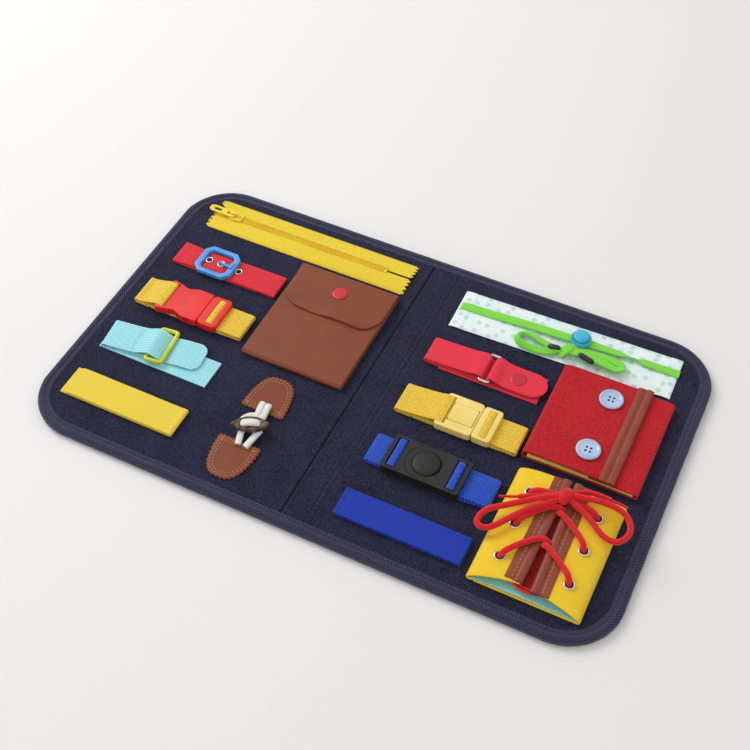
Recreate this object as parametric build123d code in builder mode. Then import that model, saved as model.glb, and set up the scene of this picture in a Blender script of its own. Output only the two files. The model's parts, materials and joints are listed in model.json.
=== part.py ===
"""A felt busy board that folds like a book, with dressing and fastening activities.

Millimetres. The board lies open and flat: X runs along its length, Y across it,
Z up from its underside, and the origin is the middle of the underside.
"""

from build123d import *
import os
from math import cos, radians, sin

os.makedirs("parts", exist_ok=True)

# Board
spine_width = 19.0
outer_margin = 18.0
corner_radius = 39.0
felt_thickness = 1.2
stiffener_thickness = 2.6
binding_width = 8.6
binding_thickness = 0.6
fold_gap = 0.3
far_margin = 12.8
near_margin = 27.0

# Columns and rows of activities
strap_length = 89.0
seam_length = 3.2
column_gap = 4.0
pouch_width = 82.0
pouch_margin = 9.5
row_pitch = 47.3
zipper_gap = 20.3
right_inner_margin = 11.5
right_row_shift = 7.4

# Webbing and its clearances
webbing_width = 25.0
webbing_thickness = 1.5
bend_radius = 1.6
running_gap = 0.3
soft_gap = 0.3
bar_radius = 1.5

# Zipper
zipper_width = 33.0
zipper_inset = 4.4
tape_thickness = 0.7
tape_hem = 4.0
chain_width = 4.4
chain_height = 1.3
chain_slit = 1.2
slider_length = 13.0
slider_width = 8.6
slider_plate = 0.9
slider_lead = 12.0
chain_from_slider = 3.0
tab_length = 23.0
tab_width = 6.4
tape_tail = 22.0
pink_depth = 2.2

# Belt with eyelets
belt_frame_length = 31.0
belt_frame_start = 20.0
belt_rail = 3.2
belt_bar = 4.0
belt_frame_thickness = 3.6
prong_reach = 9.0
prong_radius = 1.1
prong_pin = 1.1
knuckle_radius = 2.1
eyelet_radius = 3.3
eyelet_hole = 1.9
eyelet_thickness = 0.6
eyelet_pitch = 14.0

# Buckles
buckle_thickness = 8.4
buckle_width = 31.0
buckle_rail = 3.0
release_socket_start = 16.0
release_socket_length = 32.0
release_plug_length = 20.5
release_arm_length = 18.5
release_wing = 0.5
release_waist = 13.5
release_scoop = 3.4
release_softness = 1.5
release_room = 23.6
release_window = 9.0
press_socket_start = 29.0
press_socket_length = 24.0
press_plug_length = 18.0
press_panel = 16.0
press_travel = 1.2
panel_rise = 0.6
panel_thickness = 2.2
panel_from_end = 1.4
bar_inset = 0.8
rod_length = webbing_width + 2 * running_gap + 2.0
round_buckle_start = 11.7
round_buckle_length = 56.3
round_button_radius = 10.0
round_nose_radius = 14.5
round_tongue = 8.0
button_travel = 1.5
button_well = 3.6
button_rise = 0.3

# Rings and tails
ring_length = 32.0
ring_bend = 0.1
aqua_ring_start = 36.0
aqua_ring_width = 15.5
aqua_skew = 6.5
aqua_tail_end = 74.0
tongue_run = 49.0
silver_ring_width = 10.0
silver_wire_radius = 1.2
snap_radius = 6.4
snap_height = 1.6
stud_radius = 3.5
stud_height = 0.9
snap_from_tip = 21.5
tongue_tip_radius = 12.0
tail_tip_radius = 8.0

# Leather pouch
pouch_length = 94.5
pouch_top_margin = 6.0
pouch_flap_length = 42.0
leather_thickness = 1.3
pouch_depth = 2.4
pouch_corner = 5.0
pouch_seam = 3.8
pouch_fold = 3.0
flap_corner = 14.0
pouch_snap_from_fold = 17.0

# Toggle closure
patch_width = 33.0
patch_length = 32.5
upper_patch_gap = 16.6
lower_patch_gap = 10.2
toggle_length = 27.7
toggle_width = 14.7
toggle_thickness = 4.2
toggle_tilt = 25.0
cord_diameter = 3.2
toggle_from_near = 56.7

# Drawstring strip
strip_length = 167.0
strip_width = 40.0
strip_thickness = 1.2
strip_margin = 16.5
flat_cord_width = 7.0
flat_cord_thickness = 1.6
cord_slant = 2.1
cord_rise = 2.4
lock_radius = 7.6
lock_height = 8.2
lock_from_start = 94.0
lock_button_radius = 6.2
lock_button_height = 4.6
lock_travel = 2.4
bow_reach = 38.0
bow_depth = 7.5
bow_cord = 3.0
aglet_radius = 1.7
aglet_length = 9.0

# Cardigan
cardigan_width = 80.5
cardigan_length = 86.0
cardigan_near = 116.5
garment_gap = 3.0
garment_felt = 1.8
cardigan_rise = 4.6
cardigan_flap_width = 64.0
placket_width = 11.5
placket_thickness = 1.0
button_radius = 8.6
button_thickness = 2.6
button_hole_radius = 0.9
button_spacing = 46.8
button_from_edge = 24.5

# Laced shoe panel
shoe_width = 74.5
shoe_length = 89.0
shoe_near_margin = 17.0
shoe_shift = 3.0
shoe_rise = 8.0
shoe_opening = 1.8
edge_strip_width = 12.0
edge_strip_thickness = 1.0
lace_diameter = 3.4
lace_bow_reach = 49.0
lace_bow_drop = 17.0
lace_eyelet_radius = 4.2
lace_eyelet_pitch = 26.0
lace_eyelet_spread = 45.6
tongue_width = 30.0
tongue_thickness = 1.2

# Worked out
board_top = 2 * felt_thickness + stiffener_thickness
cover_width = outer_margin + strap_length + column_gap + pouch_width + pouch_margin
board_length = 2 * cover_width + spine_width
board_depth = (
    far_margin + zipper_width + zipper_gap + 3 * row_pitch + webbing_width + near_margin
)
far_edge = board_depth / 2
left_start = -board_length / 2 + outer_margin
right_start = spine_width / 2 + right_inner_margin
left_row = far_edge - far_margin - zipper_width - zipper_gap - webbing_width / 2
right_row = left_row - right_row_shift
base_top = webbing_thickness
low_run = base_top + webbing_thickness / 2
high_run = low_run + webbing_thickness + 0.1


def place(x, y, angle=0.0):
    """The plane of one activity on the board's top, its own x along the strap."""
    along = (cos(radians(angle)), sin(radians(angle)), 0)
    return Plane(origin=(x, y, board_top), x_dir=along, z_dir=(0, 0, 1))


def section(here):
    """The upright plane along an activity, its own y pointing up."""
    return Plane(origin=here.origin, x_dir=here.x_dir, z_dir=-here.y_dir)


def across(here, along):
    """The upright plane across an activity at a distance along it, its x along the board's Y."""
    origin = here.origin + here.x_dir * along
    return Plane(origin=origin, x_dir=here.y_dir, z_dir=here.x_dir)


def band(here, path, thickness, width, bend=bend_radius, mode=Mode.ADD):
    """Add a band of webbing or cloth: its path along and up from the board's top."""
    with BuildSketch(section(here)) as profile:
        with BuildLine():
            if len(path) == 2:
                Line(*path)
            else:
                FilletPolyline(*path, radius=bend)
        trace(line_width=thickness)
    extrude(profile.sketch, amount=width / 2, both=True, mode=mode)


def flat_cord(here, path, height, thickness, width, bend):
    """Add a cord that lies flat: its path in plan, at a height above the board's top."""
    with BuildSketch(here.offset(height)) as plan:
        with BuildLine():
            FilletPolyline(*path, radius=bend)
        trace(line_width=width)
    extrude(plan.sketch, amount=thickness)


def base_strip(here, length=None):
    """Add the strip of webbing that is sewn flat to the board."""
    run = length or strap_length
    band(here, [(0, base_top / 2), (run, base_top / 2)], webbing_thickness, webbing_width)


def wrap_radius(rod):
    """How far a band's middle runs from the middle of the rod that it wraps."""
    return rod + running_gap + webbing_thickness / 2


def sloping_loop(here, sewn, bar, bar_height, rod):
    """Add a loop that runs from its sewn end up over a bar and back beneath it."""
    side = 1 if bar > sewn else -1
    reach = wrap_radius(rod)
    path = [
        (sewn, high_run),
        (sewn + side * 6, high_run),
        (bar - side * reach, bar_height + reach),
        (bar + side * reach, bar_height + reach),
        (bar + side * reach, low_run),
        (sewn, low_run),
    ]
    band(here, path, webbing_thickness, webbing_width)


def low_loop(here, sewn, bar, bar_height, rod):
    """Add a loop that stays low, rises through a slot, over its bar and down again."""
    side = 1 if bar > sewn else -1
    reach = wrap_radius(rod)
    path = [
        (sewn, high_run),
        (bar - side * reach, high_run),
        (bar - side * reach, bar_height + reach),
        (bar + side * reach, bar_height + reach),
        (bar + side * reach, low_run),
        (sewn, low_run),
    ]
    band(here, path, webbing_thickness, webbing_width)


def rod(here, along, height, radius, length):
    """Add a round bar across the strap."""
    turned = Plane(
        origin=here.origin + here.x_dir * along + here.z_dir * height,
        x_dir=here.x_dir,
        z_dir=here.y_dir,
    )
    with BuildSketch(turned) as end:
        Circle(radius)
    extrude(end.sketch, amount=length / 2, both=True)


def finish(part, name):
    """Label a piece and write it."""
    part.part.label = name
    export_step(part.part, f"parts/{name}.step")


# ---------------------------------------------------------------- board
def cover_outline(side, inset):
    """One cover in plan: square at the fold, round at its two outer corners."""
    inner = spine_width / 2 + fold_gap / 2
    outer = board_length / 2 - inset
    with BuildSketch() as outline:
        with Locations((side * (inner + outer) / 2, 0)):
            Rectangle(outer - inner, board_depth - 2 * inset)
        corners = outline.vertices().group_by(Axis.X)[-1 if side > 0 else 0]
        fillet(corners, corner_radius - inset)
    return outline.sketch


def spine_outline(inset):
    """The spine in plan."""
    with BuildSketch() as outline:
        Rectangle(spine_width - fold_gap, board_depth - 2 * inset)
    return outline.sketch


def raised(sketch, height):
    """A plan sketch lifted to a height."""
    return sketch.moved(Location((0, 0, height)))


sides = {"left": -1, "right": 1}
outlines = {
    name: (lambda inset, side=side: cover_outline(side, inset))
    for name, side in sides.items()
}
outlines["spine"] = spine_outline

inner_z = board_top - felt_thickness


def add_felts(outline):
    """Add the inner and the outer felt of one leaf of the board."""
    extrude(raised(outline(binding_thickness), inner_z), amount=felt_thickness)
    extrude(
        raised(outline(binding_thickness), binding_thickness),
        amount=felt_thickness - binding_thickness,
    )
    extrude(outline(binding_width), amount=binding_thickness)


def add_binding(outline):
    """Add the tape that wraps a leaf's edge: a channel, proud of the felt above."""
    with BuildPart(mode=Mode.PRIVATE) as tape:
        extrude(outline(0), amount=board_top + binding_thickness)
        extrude(
            raised(outline(binding_thickness), binding_thickness),
            amount=board_top - binding_thickness,
            mode=Mode.SUBTRACT,
        )
        extrude(
            outline(binding_width), amount=board_top + binding_thickness, mode=Mode.SUBTRACT
        )
    add(tape.part)


for name in sides:
    with BuildPart() as felts:
        add_felts(outlines[name])
    finish(felts, f"{name}_felts")

    with BuildPart() as stiffener:
        extrude(
            raised(outlines[name](binding_thickness), felt_thickness), amount=stiffener_thickness
        )
    finish(stiffener, f"{name}_stiffener")

    with BuildPart() as binding:
        add_binding(outlines[name])
    finish(binding, f"{name}_binding")

with BuildPart() as spine:
    add_felts(spine_outline)
    extrude(raised(spine_outline(binding_thickness), felt_thickness), amount=stiffener_thickness)
    add_binding(spine_outline)
finish(spine, "spine")

# ---------------------------------------------------------------- zipper
zip_y = far_edge - far_margin - zipper_width / 2
zip_start = left_start + zipper_inset
zip_end = -spine_width / 2 - pouch_margin
zip_here = place(zip_start, zip_y)
zip_length = zip_end - zip_start
slider_middle = slider_lead + slider_length / 2
tape_lift = 1.3
half_zip = zipper_width / 2


def tape_plan(side):
    """One tape: pinked at both ends, and parted from its mate left of the slider."""
    mate = side * chain_slit / 2
    edge = side * half_zip
    teeth = 4
    points = [(slider_lead, mate), (zip_length - tape_tail, mate)]
    points += [(zip_length - pink_depth, mate + side * 0.4)]
    step = (half_zip - abs(mate) - 0.4) / teeth
    for i in range(teeth):
        y = mate + side * (0.4 + i * step)
        points += [(zip_length, y + side * step / 2), (zip_length - pink_depth, y + side * step)]
    parted = mate + side * 3.4
    step = (half_zip - abs(parted)) / teeth
    points += [(pink_depth, edge)]
    for i in range(teeth):
        y = edge - side * i * step
        points += [(0, y - side * step / 2), (pink_depth, y - side * step)]
    return points


with BuildPart() as zipper_tapes:
    for side in (1, -1):
        with BuildSketch(zip_here.offset(tape_lift)) as tape:
            with BuildLine():
                Polyline(*tape_plan(side), close=True)
            make_face()
        extrude(tape.sketch, amount=tape_thickness)
        with BuildSketch(zip_here) as hem:
            with Locations((zip_length / 2, side * (half_zip - tape_hem / 2))):
                Rectangle(zip_length - 2 * pink_depth, tape_hem)
        extrude(hem.sketch, amount=tape_lift)
    run = zip_length - tape_tail - slider_lead - chain_from_slider
    for side in (1, -1):
        with BuildSketch(zip_here.offset(tape_lift + tape_thickness)) as coil:
            width = (chain_width - chain_slit) / 2
            with Locations((slider_lead + chain_from_slider + run / 2, side * (chain_slit + width) / 2)):
                Rectangle(run, width)
        extrude(coil.sketch, amount=chain_height - tape_thickness)
    with BuildSketch(zip_here.offset(tape_lift + tape_thickness)) as stop:
        with Locations((zip_length - tape_tail + 1.4, 0)):
            Rectangle(2.2, chain_width + 2.0)
    extrude(stop.sketch, amount=chain_height)
finish(zipper_tapes, "zipper_tapes")

slider_floor = 0.25
plate_top = tape_lift + chain_height + 0.35
crown_height = 3.0
crown_thickness = 0.9
crown_width = 2.2
eye_rod = 0.6
eye_height = plate_top + slider_plate + eye_rod + 0.35
with BuildPart() as zipper_slider:
    for height in (slider_floor, plate_top):
        with BuildSketch(zip_here.offset(height)) as plate:
            with BuildLine():
                Polyline(
                    (slider_lead, -slider_width / 2 * 0.6),
                    (slider_lead + slider_length * 0.4, -slider_width / 2),
                    (slider_lead + slider_length, -slider_width / 2 * 0.8),
                    (slider_lead + slider_length, slider_width / 2 * 0.8),
                    (slider_lead + slider_length * 0.4, slider_width / 2),
                    (slider_lead, slider_width / 2 * 0.6),
                    close=True,
                )
            make_face()
            fillet(plate.vertices(), 1.0)
        extrude(plate.sketch, amount=slider_plate)
    with BuildSketch(zip_here.offset(slider_floor)) as post:
        with Locations((slider_lead + 2.0, 0)):
            Rectangle(3.2, chain_slit - 0.5)
    extrude(post.sketch, amount=plate_top - slider_floor + slider_plate / 2)
    crown = [
        (slider_middle - 4.2, plate_top + slider_plate - 0.2),
        (slider_middle - 3.4, plate_top + slider_plate + crown_height - 0.6),
        (slider_middle + 3.4, plate_top + slider_plate + crown_height - 0.6),
        (slider_middle + 4.2, plate_top + slider_plate - 0.2),
    ]
    band(zip_here, crown, crown_thickness, crown_width, bend=1.2)
finish(zipper_slider, "zipper_slider")

with BuildPart() as pull_tab:
    eye = crown_width + 2 * running_gap
    with BuildSketch(zip_here.offset(eye_height - eye_rod)) as outline:
        with Locations((slider_middle - tab_length / 2 + eye_rod, 0)):
            RectangleRounded(tab_length, tab_width, tab_width * 0.42)
        with Locations((slider_middle - eye_rod - 3.2, 0)):
            Rectangle(6.4, eye, mode=Mode.SUBTRACT)
        with Locations((slider_middle - tab_length + 7.5, 0)):
            SlotOverall(7.0, 2.4, mode=Mode.SUBTRACT)
    extrude(outline.sketch, amount=2 * eye_rod)
finish(pull_tab, "zipper_pull_tab")

# ---------------------------------------------------------------- belt
belt_here = place(left_start, left_row)
frame_width = webbing_width + 2 * running_gap + 2 * belt_rail
prong_axis_x = belt_frame_start + belt_frame_length - belt_bar / 2
prong_axis_z = 2 * webbing_thickness + knuckle_radius + 0.15
eyelet_x = prong_axis_x - prong_reach
eyelets = [eyelet_x - eyelet_pitch * 0.72, eyelet_x, eyelet_x + eyelet_pitch]

with BuildPart() as belt_webbing:
    base_strip(belt_here)
    strap_z = webbing_thickness * 1.5
    band(belt_here, [(0, strap_z), (strap_length, strap_z)], webbing_thickness, webbing_width)
    with Locations(*[belt_here.from_local_coords(Vector(x, 0, 0)) for x in eyelets]):
        Cylinder(eyelet_hole, 20, mode=Mode.SUBTRACT)
finish(belt_webbing, "belt_webbing")

with BuildPart() as belt_eyelets:
    with BuildSketch(belt_here.offset(2 * webbing_thickness)) as flanges:
        with Locations(*[(x, 0) for x in eyelets]):
            Circle(eyelet_radius)
            Circle(eyelet_hole, mode=Mode.SUBTRACT)
    extrude(flanges.sketch, amount=eyelet_thickness)
finish(belt_eyelets, "belt_eyelets")

with BuildPart() as belt_frame:
    frame_middle = belt_frame_start + belt_frame_length / 2
    with BuildSketch(belt_here.offset(2 * webbing_thickness)) as outline:
        with Locations((frame_middle, 0)):
            RectangleRounded(belt_frame_length, frame_width, 6.0)
            RectangleRounded(
                belt_frame_length - 2 * belt_bar, frame_width - 2 * belt_rail, 3.0,
                mode=Mode.SUBTRACT,
            )
        with Locations((prong_axis_x, 0)):
            Rectangle(belt_bar + 1.0, 6.6, mode=Mode.SUBTRACT)
    extrude(outline.sketch, amount=belt_frame_thickness)
    fillet(belt_frame.faces().sort_by(Axis.Z)[-1].edges(), 0.8)
    rod(belt_here, prong_axis_x, prong_axis_z, prong_pin, 7.4)
finish(belt_frame, "belt_buckle_frame")

with BuildPart() as prong:
    rod(belt_here, prong_axis_x, prong_axis_z, knuckle_radius, 5.4)
    with BuildSketch(across(belt_here, eyelet_x)) as pin:
        with Locations((0, prong_axis_z)):
            Circle(prong_radius)
    extrude(pin.sketch, amount=prong_reach - (knuckle_radius + prong_pin) / 2)
    with BuildSketch(belt_here.offset(2 * webbing_thickness - 0.6)) as tip:
        with Locations((eyelet_x, 0)):
            Circle(prong_radius)
    extrude(tip.sketch, amount=prong_axis_z - 2 * webbing_thickness + 0.6)
    bore = belt_here.origin + belt_here.x_dir * prong_axis_x + belt_here.z_dir * prong_axis_z
    with Locations(Plane(origin=bore, x_dir=(1, 0, 0), z_dir=(0, 1, 0))):
        Cylinder(prong_pin + 0.06, 10, mode=Mode.SUBTRACT)
finish(prong, "belt_prong")


# ---------------------------------------------------------------- buckles
def buckle_body(here, start, length, width, corner, lift=base_top + soft_gap):
    """Add a moulded buckle block that lies over the base strip, softened above."""
    with BuildSketch(here.offset(lift)) as outline:
        with Locations((start + length / 2, 0)):
            RectangleRounded(length, width, corner)
    extrude(outline.sketch, amount=buckle_thickness)


def pocket(here, start, length, width, low, high):
    """Cut a straight-sided pocket or window out of the piece being built."""
    with BuildSketch(here.offset(low)) as outline:
        with Locations((start + length / 2, 0)):
            Rectangle(length, width)
    extrude(outline.sketch, amount=high - low, mode=Mode.SUBTRACT)


buckle_low = base_top + soft_gap
buckle_high = buckle_low + buckle_thickness
bar_height = buckle_high - bar_radius - running_gap - webbing_thickness - 0.2
rail_low = high_run + webbing_thickness / 2 + soft_gap
slot_width = webbing_width + 2 * running_gap

release_here = place(left_start, left_row - row_pitch)
socket_end = release_socket_start + release_socket_length
release_bar = release_socket_start + bar_radius + bar_inset

with BuildPart() as release_socket:
    half = buckle_width / 2
    x0 = release_socket_start
    wing = half + release_wing
    waist = x0 + release_waist
    with BuildSketch(release_here.offset(buckle_low)) as outline:
        with BuildLine():
            Polyline(
                (x0, -wing),
                (waist, release_scoop - half),
                (waist + release_scoop * 2, 0.4 - half),
                (socket_end, 0.4 - half),
                (socket_end, half - 0.4),
                (waist + release_scoop * 2, half - 0.4),
                (waist, half - release_scoop),
                (x0, wing),
                close=True,
            )
        make_face()
        fillet(outline.vertices(), release_softness)
    extrude(outline.sketch, amount=buckle_thickness)
    fillet(release_socket.faces().sort_by(Axis.Z)[-1].edges(), release_softness * 0.6)
    arm_room = release_arm_length + 1.5
    wall = 2.0
    floor, roof = buckle_low + wall, buckle_high - wall
    pocket(release_here, socket_end - arm_room, arm_room + wall, release_room, floor, roof)
    pocket(release_here, waist + 3.0, release_window, 2 * buckle_width, floor, roof)
    reach = wrap_radius(bar_radius) + webbing_thickness
    slot_end = release_bar + reach + running_gap
    pocket(release_here, x0 - wall, slot_end - x0 + wall, slot_width, buckle_low - 1, buckle_high + 1)
    rod(release_here, release_bar, bar_height, bar_radius, rod_length)
finish(release_socket, "release_buckle_socket")

with BuildPart() as release_webbing:
    base_strip(release_here)
    sloping_loop(release_here, 0, release_bar, bar_height, bar_radius)
finish(release_webbing, "release_webbing")

plug_start = socket_end + running_gap
plug_bar = plug_start + release_plug_length - 9.0
with BuildPart() as release_plug:
    buckle_body(release_here, plug_start, release_plug_length, buckle_width - 0.8, 4.5)
    fillet(release_plug.faces().sort_by(Axis.Z)[-1].edges(), 1.2)
    reach = wrap_radius(bar_radius) + webbing_thickness / 2 + running_gap
    window = 2 * reach
    pocket(release_here, plug_bar - reach, window, slot_width, buckle_low - 1, buckle_high + 1)
    pocket(release_here, plug_bar, 20, slot_width, buckle_low - 1, rail_low)
    rod(release_here, plug_bar, bar_height, bar_radius, rod_length)
    with BuildSketch(release_here.offset(buckle_low + 2.6)) as guide:
        with Locations((plug_start - release_arm_length / 2 + 1, 0)):
            Rectangle(release_arm_length - 1, 6.0)
    extrude(guide.sketch, amount=buckle_thickness - 5.2)
finish(release_plug, "release_buckle_plug")

with BuildPart() as release_arms:
    for side in (1, -1):
        with BuildSketch(release_here.offset(buckle_low + 2.4)) as arm:
            root = plug_start
            tip = plug_start - release_arm_length
            with BuildLine():
                Polyline(
                    (root, side * 7.4),
                    (tip, side * 7.0),
                    (tip, side * 9.6),
                    (tip + 2.5, side * 11.2),
                    (tip + 3.2, side * 13.4),
                    (tip + 7.6, side * 13.8),
                    (tip + 8.6, side * 11.0),
                    (root, side * 11.0),
                    close=True,
                )
            make_face()
        extrude(arm.sketch, amount=buckle_thickness - 4.8)
finish(release_arms, "release_buckle_arms")

with BuildPart() as release_plug_webbing:
    low_loop(release_here, strap_length, plug_bar, bar_height, bar_radius)
finish(release_plug_webbing, "release_plug_webbing")


# ---------------------------------------------------------------- rings and tails
def ring_height(wire):
    """How high a ring's middle lies, so that a tail can turn right round its bar."""
    return base_top + wire_reach(wire) + 0.1


def wire_reach(wire):
    """The outer radius of a band that wraps a wire."""
    return wire + running_gap + webbing_thickness


def add_ring(here, start, width, wire):
    """Add a rectangular ring of round wire, lying flat."""
    with BuildSketch(here.offset(ring_height(wire))) as frame:
        with Locations((start + width / 2, 0)):
            RectangleRounded(width - 2 * wire, ring_length - 2 * wire, wire + ring_bend)
    loop = frame.sketch.faces()[0].outer_wire()
    with BuildSketch(Plane(origin=loop @ 0, z_dir=loop % 0)) as wire_end:
        Circle(wire)
    sweep(wire_end.sketch, path=loop)


def add_tail(here, bar, wire, end, rest_height):
    """Add a free tail: round the ring's bar, then down and along to its tip."""
    reach = wire + running_gap + webbing_thickness / 2
    middle = ring_height(wire)
    path = [
        (bar - reach, middle - wire * 0.4),
        (bar - reach, middle + reach),
        (bar + reach, middle + reach),
        (bar + 12.0, rest_height),
        (end, rest_height),
    ]
    band(here, path, webbing_thickness, webbing_width)


aqua_base_here = place(left_start, left_row - 2 * row_pitch)
aqua_here = place(left_start, left_row - 2 * row_pitch, aqua_skew)
aqua_wire = bar_radius
aqua_left_bar = aqua_ring_start + aqua_wire
aqua_right_bar = aqua_ring_start + aqua_ring_width - aqua_wire

with BuildPart() as aqua_webbing:
    base_strip(aqua_base_here)
    sloping_loop(aqua_here, 3.0, aqua_left_bar, ring_height(aqua_wire), aqua_wire)
finish(aqua_webbing, "aqua_webbing")

with BuildPart() as lime_ring:
    add_ring(aqua_here, aqua_ring_start, aqua_ring_width, aqua_wire)
finish(lime_ring, "lime_ring")

with BuildPart() as aqua_tail:
    rest_height = base_top + soft_gap + webbing_thickness / 2
    add_tail(aqua_here, aqua_right_bar, aqua_wire, aqua_tail_end, rest_height)
    tip = aqua_tail.edges().filter_by(Axis.Z).sort_by(Axis.X)[-2:]
    fillet(tip, tail_tip_radius)
finish(aqua_tail, "aqua_tail")

# ---------------------------------------------------------------- hook-and-loop strips
fold_height = 2 * webbing_thickness + soft_gap
hinge_from_end = 4.0
yellow_here = place(left_start, left_row - 3 * row_pitch)

with BuildPart() as yellow_base:
    middle = webbing_thickness / 2
    top = fold_height - middle
    fold = [
        (0, middle),
        (strap_length - 0.6, middle),
        (strap_length - 0.6, top),
        (strap_length - hinge_from_end, top),
    ]
    band(yellow_here, fold, webbing_thickness, webbing_width, bend=(top - middle) * 0.49)
finish(yellow_base, "yellow_strip_base")

with BuildPart() as yellow_top:
    run = [(1.5, top), (strap_length - hinge_from_end - running_gap, top)]
    band(yellow_here, run, webbing_thickness, webbing_width)
    tip = yellow_top.edges().filter_by(Axis.Z).sort_by(Axis.X)[:2]
    fillet(tip, 6.0)
finish(yellow_top, "yellow_strip_top")

blue_here = place(right_start, right_row - 3 * row_pitch)
with BuildPart() as blue_base:
    base_strip(blue_here)
    with BuildSketch(blue_here.offset(base_top)) as seam:
        with Locations((seam_length / 2, 0)):
            Rectangle(seam_length, webbing_width)
    extrude(seam.sketch, amount=fold_height - base_top)
finish(blue_base, "blue_strip_base")

with BuildPart() as blue_top:
    run = [(seam_length + running_gap, top), (strap_length - 0.8, top)]
    band(blue_here, run, webbing_thickness, webbing_width)
finish(blue_top, "blue_strip_top")

# ---------------------------------------------------------------- leather pouch
pouch_right = -spine_width / 2 - pouch_margin
pouch_far = zip_y - half_zip - pouch_top_margin
pouch_here = place(pouch_right - pouch_width, pouch_far - pouch_length)
pouch_height = 2 * leather_thickness + pouch_depth
flap_bottom = pouch_height + running_gap
flap_top = flap_bottom + leather_thickness
pouch_room = pouch_width - 2 * pouch_seam

with BuildPart() as pouch_body:
    with BuildSketch(pouch_here) as shell:
        with Locations((pouch_width / 2, pouch_length / 2)):
            RectangleRounded(pouch_width, pouch_length, pouch_corner)
    extrude(shell.sketch, amount=pouch_height)
    with BuildSketch(pouch_here.offset(leather_thickness)) as inside:
        with Locations((pouch_width / 2, pouch_length / 2 + 1.0)):
            Rectangle(pouch_room, pouch_length - 9)
    extrude(inside.sketch, amount=pouch_depth, mode=Mode.SUBTRACT)
    with BuildSketch(pouch_here.offset(leather_thickness)) as mouth:
        with Locations((pouch_width / 2, pouch_length - pouch_fold - 4.0)):
            Rectangle(pouch_room, 8.0)
    extrude(mouth.sketch, amount=pouch_height, mode=Mode.SUBTRACT)
    with BuildSketch(pouch_here) as back_fold:
        with Locations((pouch_width / 2, pouch_length - pouch_fold / 2)):
            Rectangle(pouch_width - 2 * pouch_corner, pouch_fold)
    extrude(back_fold.sketch, amount=flap_top)
    with BuildSketch(pouch_here.offset(pouch_height)) as stud:
        with Locations((pouch_width / 2, pouch_length - pouch_snap_from_fold)):
            Circle(stud_radius * 0.6)
    extrude(stud.sketch, amount=running_gap * 0.5)
finish(pouch_body, "pouch_body")

with BuildPart() as pouch_flap:
    with BuildSketch(pouch_here.offset(flap_bottom)) as outline:
        flap_run = pouch_flap_length - pouch_fold - running_gap
        flap_far = pouch_length - pouch_fold - running_gap
        with Locations((pouch_width / 2, flap_far - flap_run / 2)):
            Rectangle(pouch_width, flap_run)
        fillet(outline.vertices().group_by(Axis.Y)[0], flap_corner)
    extrude(outline.sketch, amount=leather_thickness)
finish(pouch_flap, "pouch_flap")

with BuildPart() as pouch_snap:
    with BuildSketch(pouch_here.offset(flap_top)) as cap:
        with Locations((pouch_width / 2, pouch_length - pouch_snap_from_fold)):
            Circle(snap_radius)
    extrude(cap.sketch, amount=snap_height)
    fillet(pouch_snap.faces().sort_by(Axis.Z)[-1].edges(), 0.9)
finish(pouch_snap, "pouch_snap_cap")

# ---------------------------------------------------------------- toggle closure
toggle_x = pouch_right - pouch_width / 2
toggle_y = -far_edge + toggle_from_near
toggle_here = place(toggle_x, toggle_y)
patch_thickness = 1.5
loop_height = patch_thickness + 0.4
toggle_low = loop_height + cord_diameter + running_gap

with BuildPart() as toggle_patches:
    for side, gap in ((1, upper_patch_gap), (-1, lower_patch_gap)):
        near = side * gap
        far = near + side * patch_length
        with BuildSketch(toggle_here) as patch:
            with BuildLine():
                foot = Line((-patch_width / 2 + 2, near), (patch_width / 2 - 2, near))
                right = ThreePointArc(
                    foot @ 1, (patch_width / 2, near + side * patch_length * 0.32),
                    (0.0, far),
                )
                ThreePointArc(
                    right @ 1, (-patch_width / 2, near + side * patch_length * 0.32), foot @ 0
                )
            make_face()
        extrude(patch.sketch, amount=patch_thickness)
finish(toggle_patches, "toggle_patches")

with BuildPart() as toggle_cords:
    loop = [
        (-4.0, upper_patch_gap + 4.0),
        (-5.4, -6.0),
        (5.4, -6.0),
        (4.0, upper_patch_gap + 4.0),
    ]
    flat_cord(toggle_here, loop, loop_height, cord_diameter, cord_diameter, bend=4.6)
    for side in (1, -1):
        legs = [(side * 6.0, -lower_patch_gap - 3.5), (side * 2.4, -8.2)]
        with BuildSketch(toggle_here.offset(loop_height)) as leg:
            with BuildLine():
                Line(*legs)
            trace(line_width=cord_diameter)
        extrude(leg.sketch, amount=cord_diameter)
finish(toggle_cords, "toggle_cords")

with BuildPart() as toggle:
    turned = place(toggle_x, toggle_y, toggle_tilt)
    with BuildSketch(turned.offset(toggle_low)) as lens:
        with BuildLine():
            ends = [(-toggle_length / 2, 0), (toggle_length / 2, 0)]
            ThreePointArc(ends[0], (0, toggle_width / 2), ends[1])
            ThreePointArc(ends[1], (0, -toggle_width / 2), ends[0])
        make_face()
        fillet(lens.vertices(), 2.4)
    extrude(lens.sketch, amount=toggle_thickness)
    fillet(toggle.faces().sort_by(Axis.Z)[-1].edges(), 1.2)
    with BuildSketch(turned.offset(toggle_low - 1)) as holes:
        with Locations((-3.4, 0), (3.4, 0)):
            Circle(cord_diameter / 2)
    extrude(holes.sketch, amount=toggle_thickness + 2, mode=Mode.SUBTRACT)
finish(toggle, "wooden_toggle")

# ---------------------------------------------------------------- drawstring strip
strip_y = far_edge - strip_margin - strip_width / 2
strip_here = place(right_start, strip_y)
cord_here = place(right_start, strip_y, cord_slant)
cord_low = strip_thickness + flat_cord_thickness / 2
cord_high = cord_low + cord_rise

with BuildPart() as strip:
    with BuildSketch(strip_here) as plan:
        with Locations((strip_length / 2, 0)):
            Rectangle(strip_length, strip_width)
    extrude(plan.sketch, amount=strip_thickness)
finish(strip, "drawstring_strip")

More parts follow.
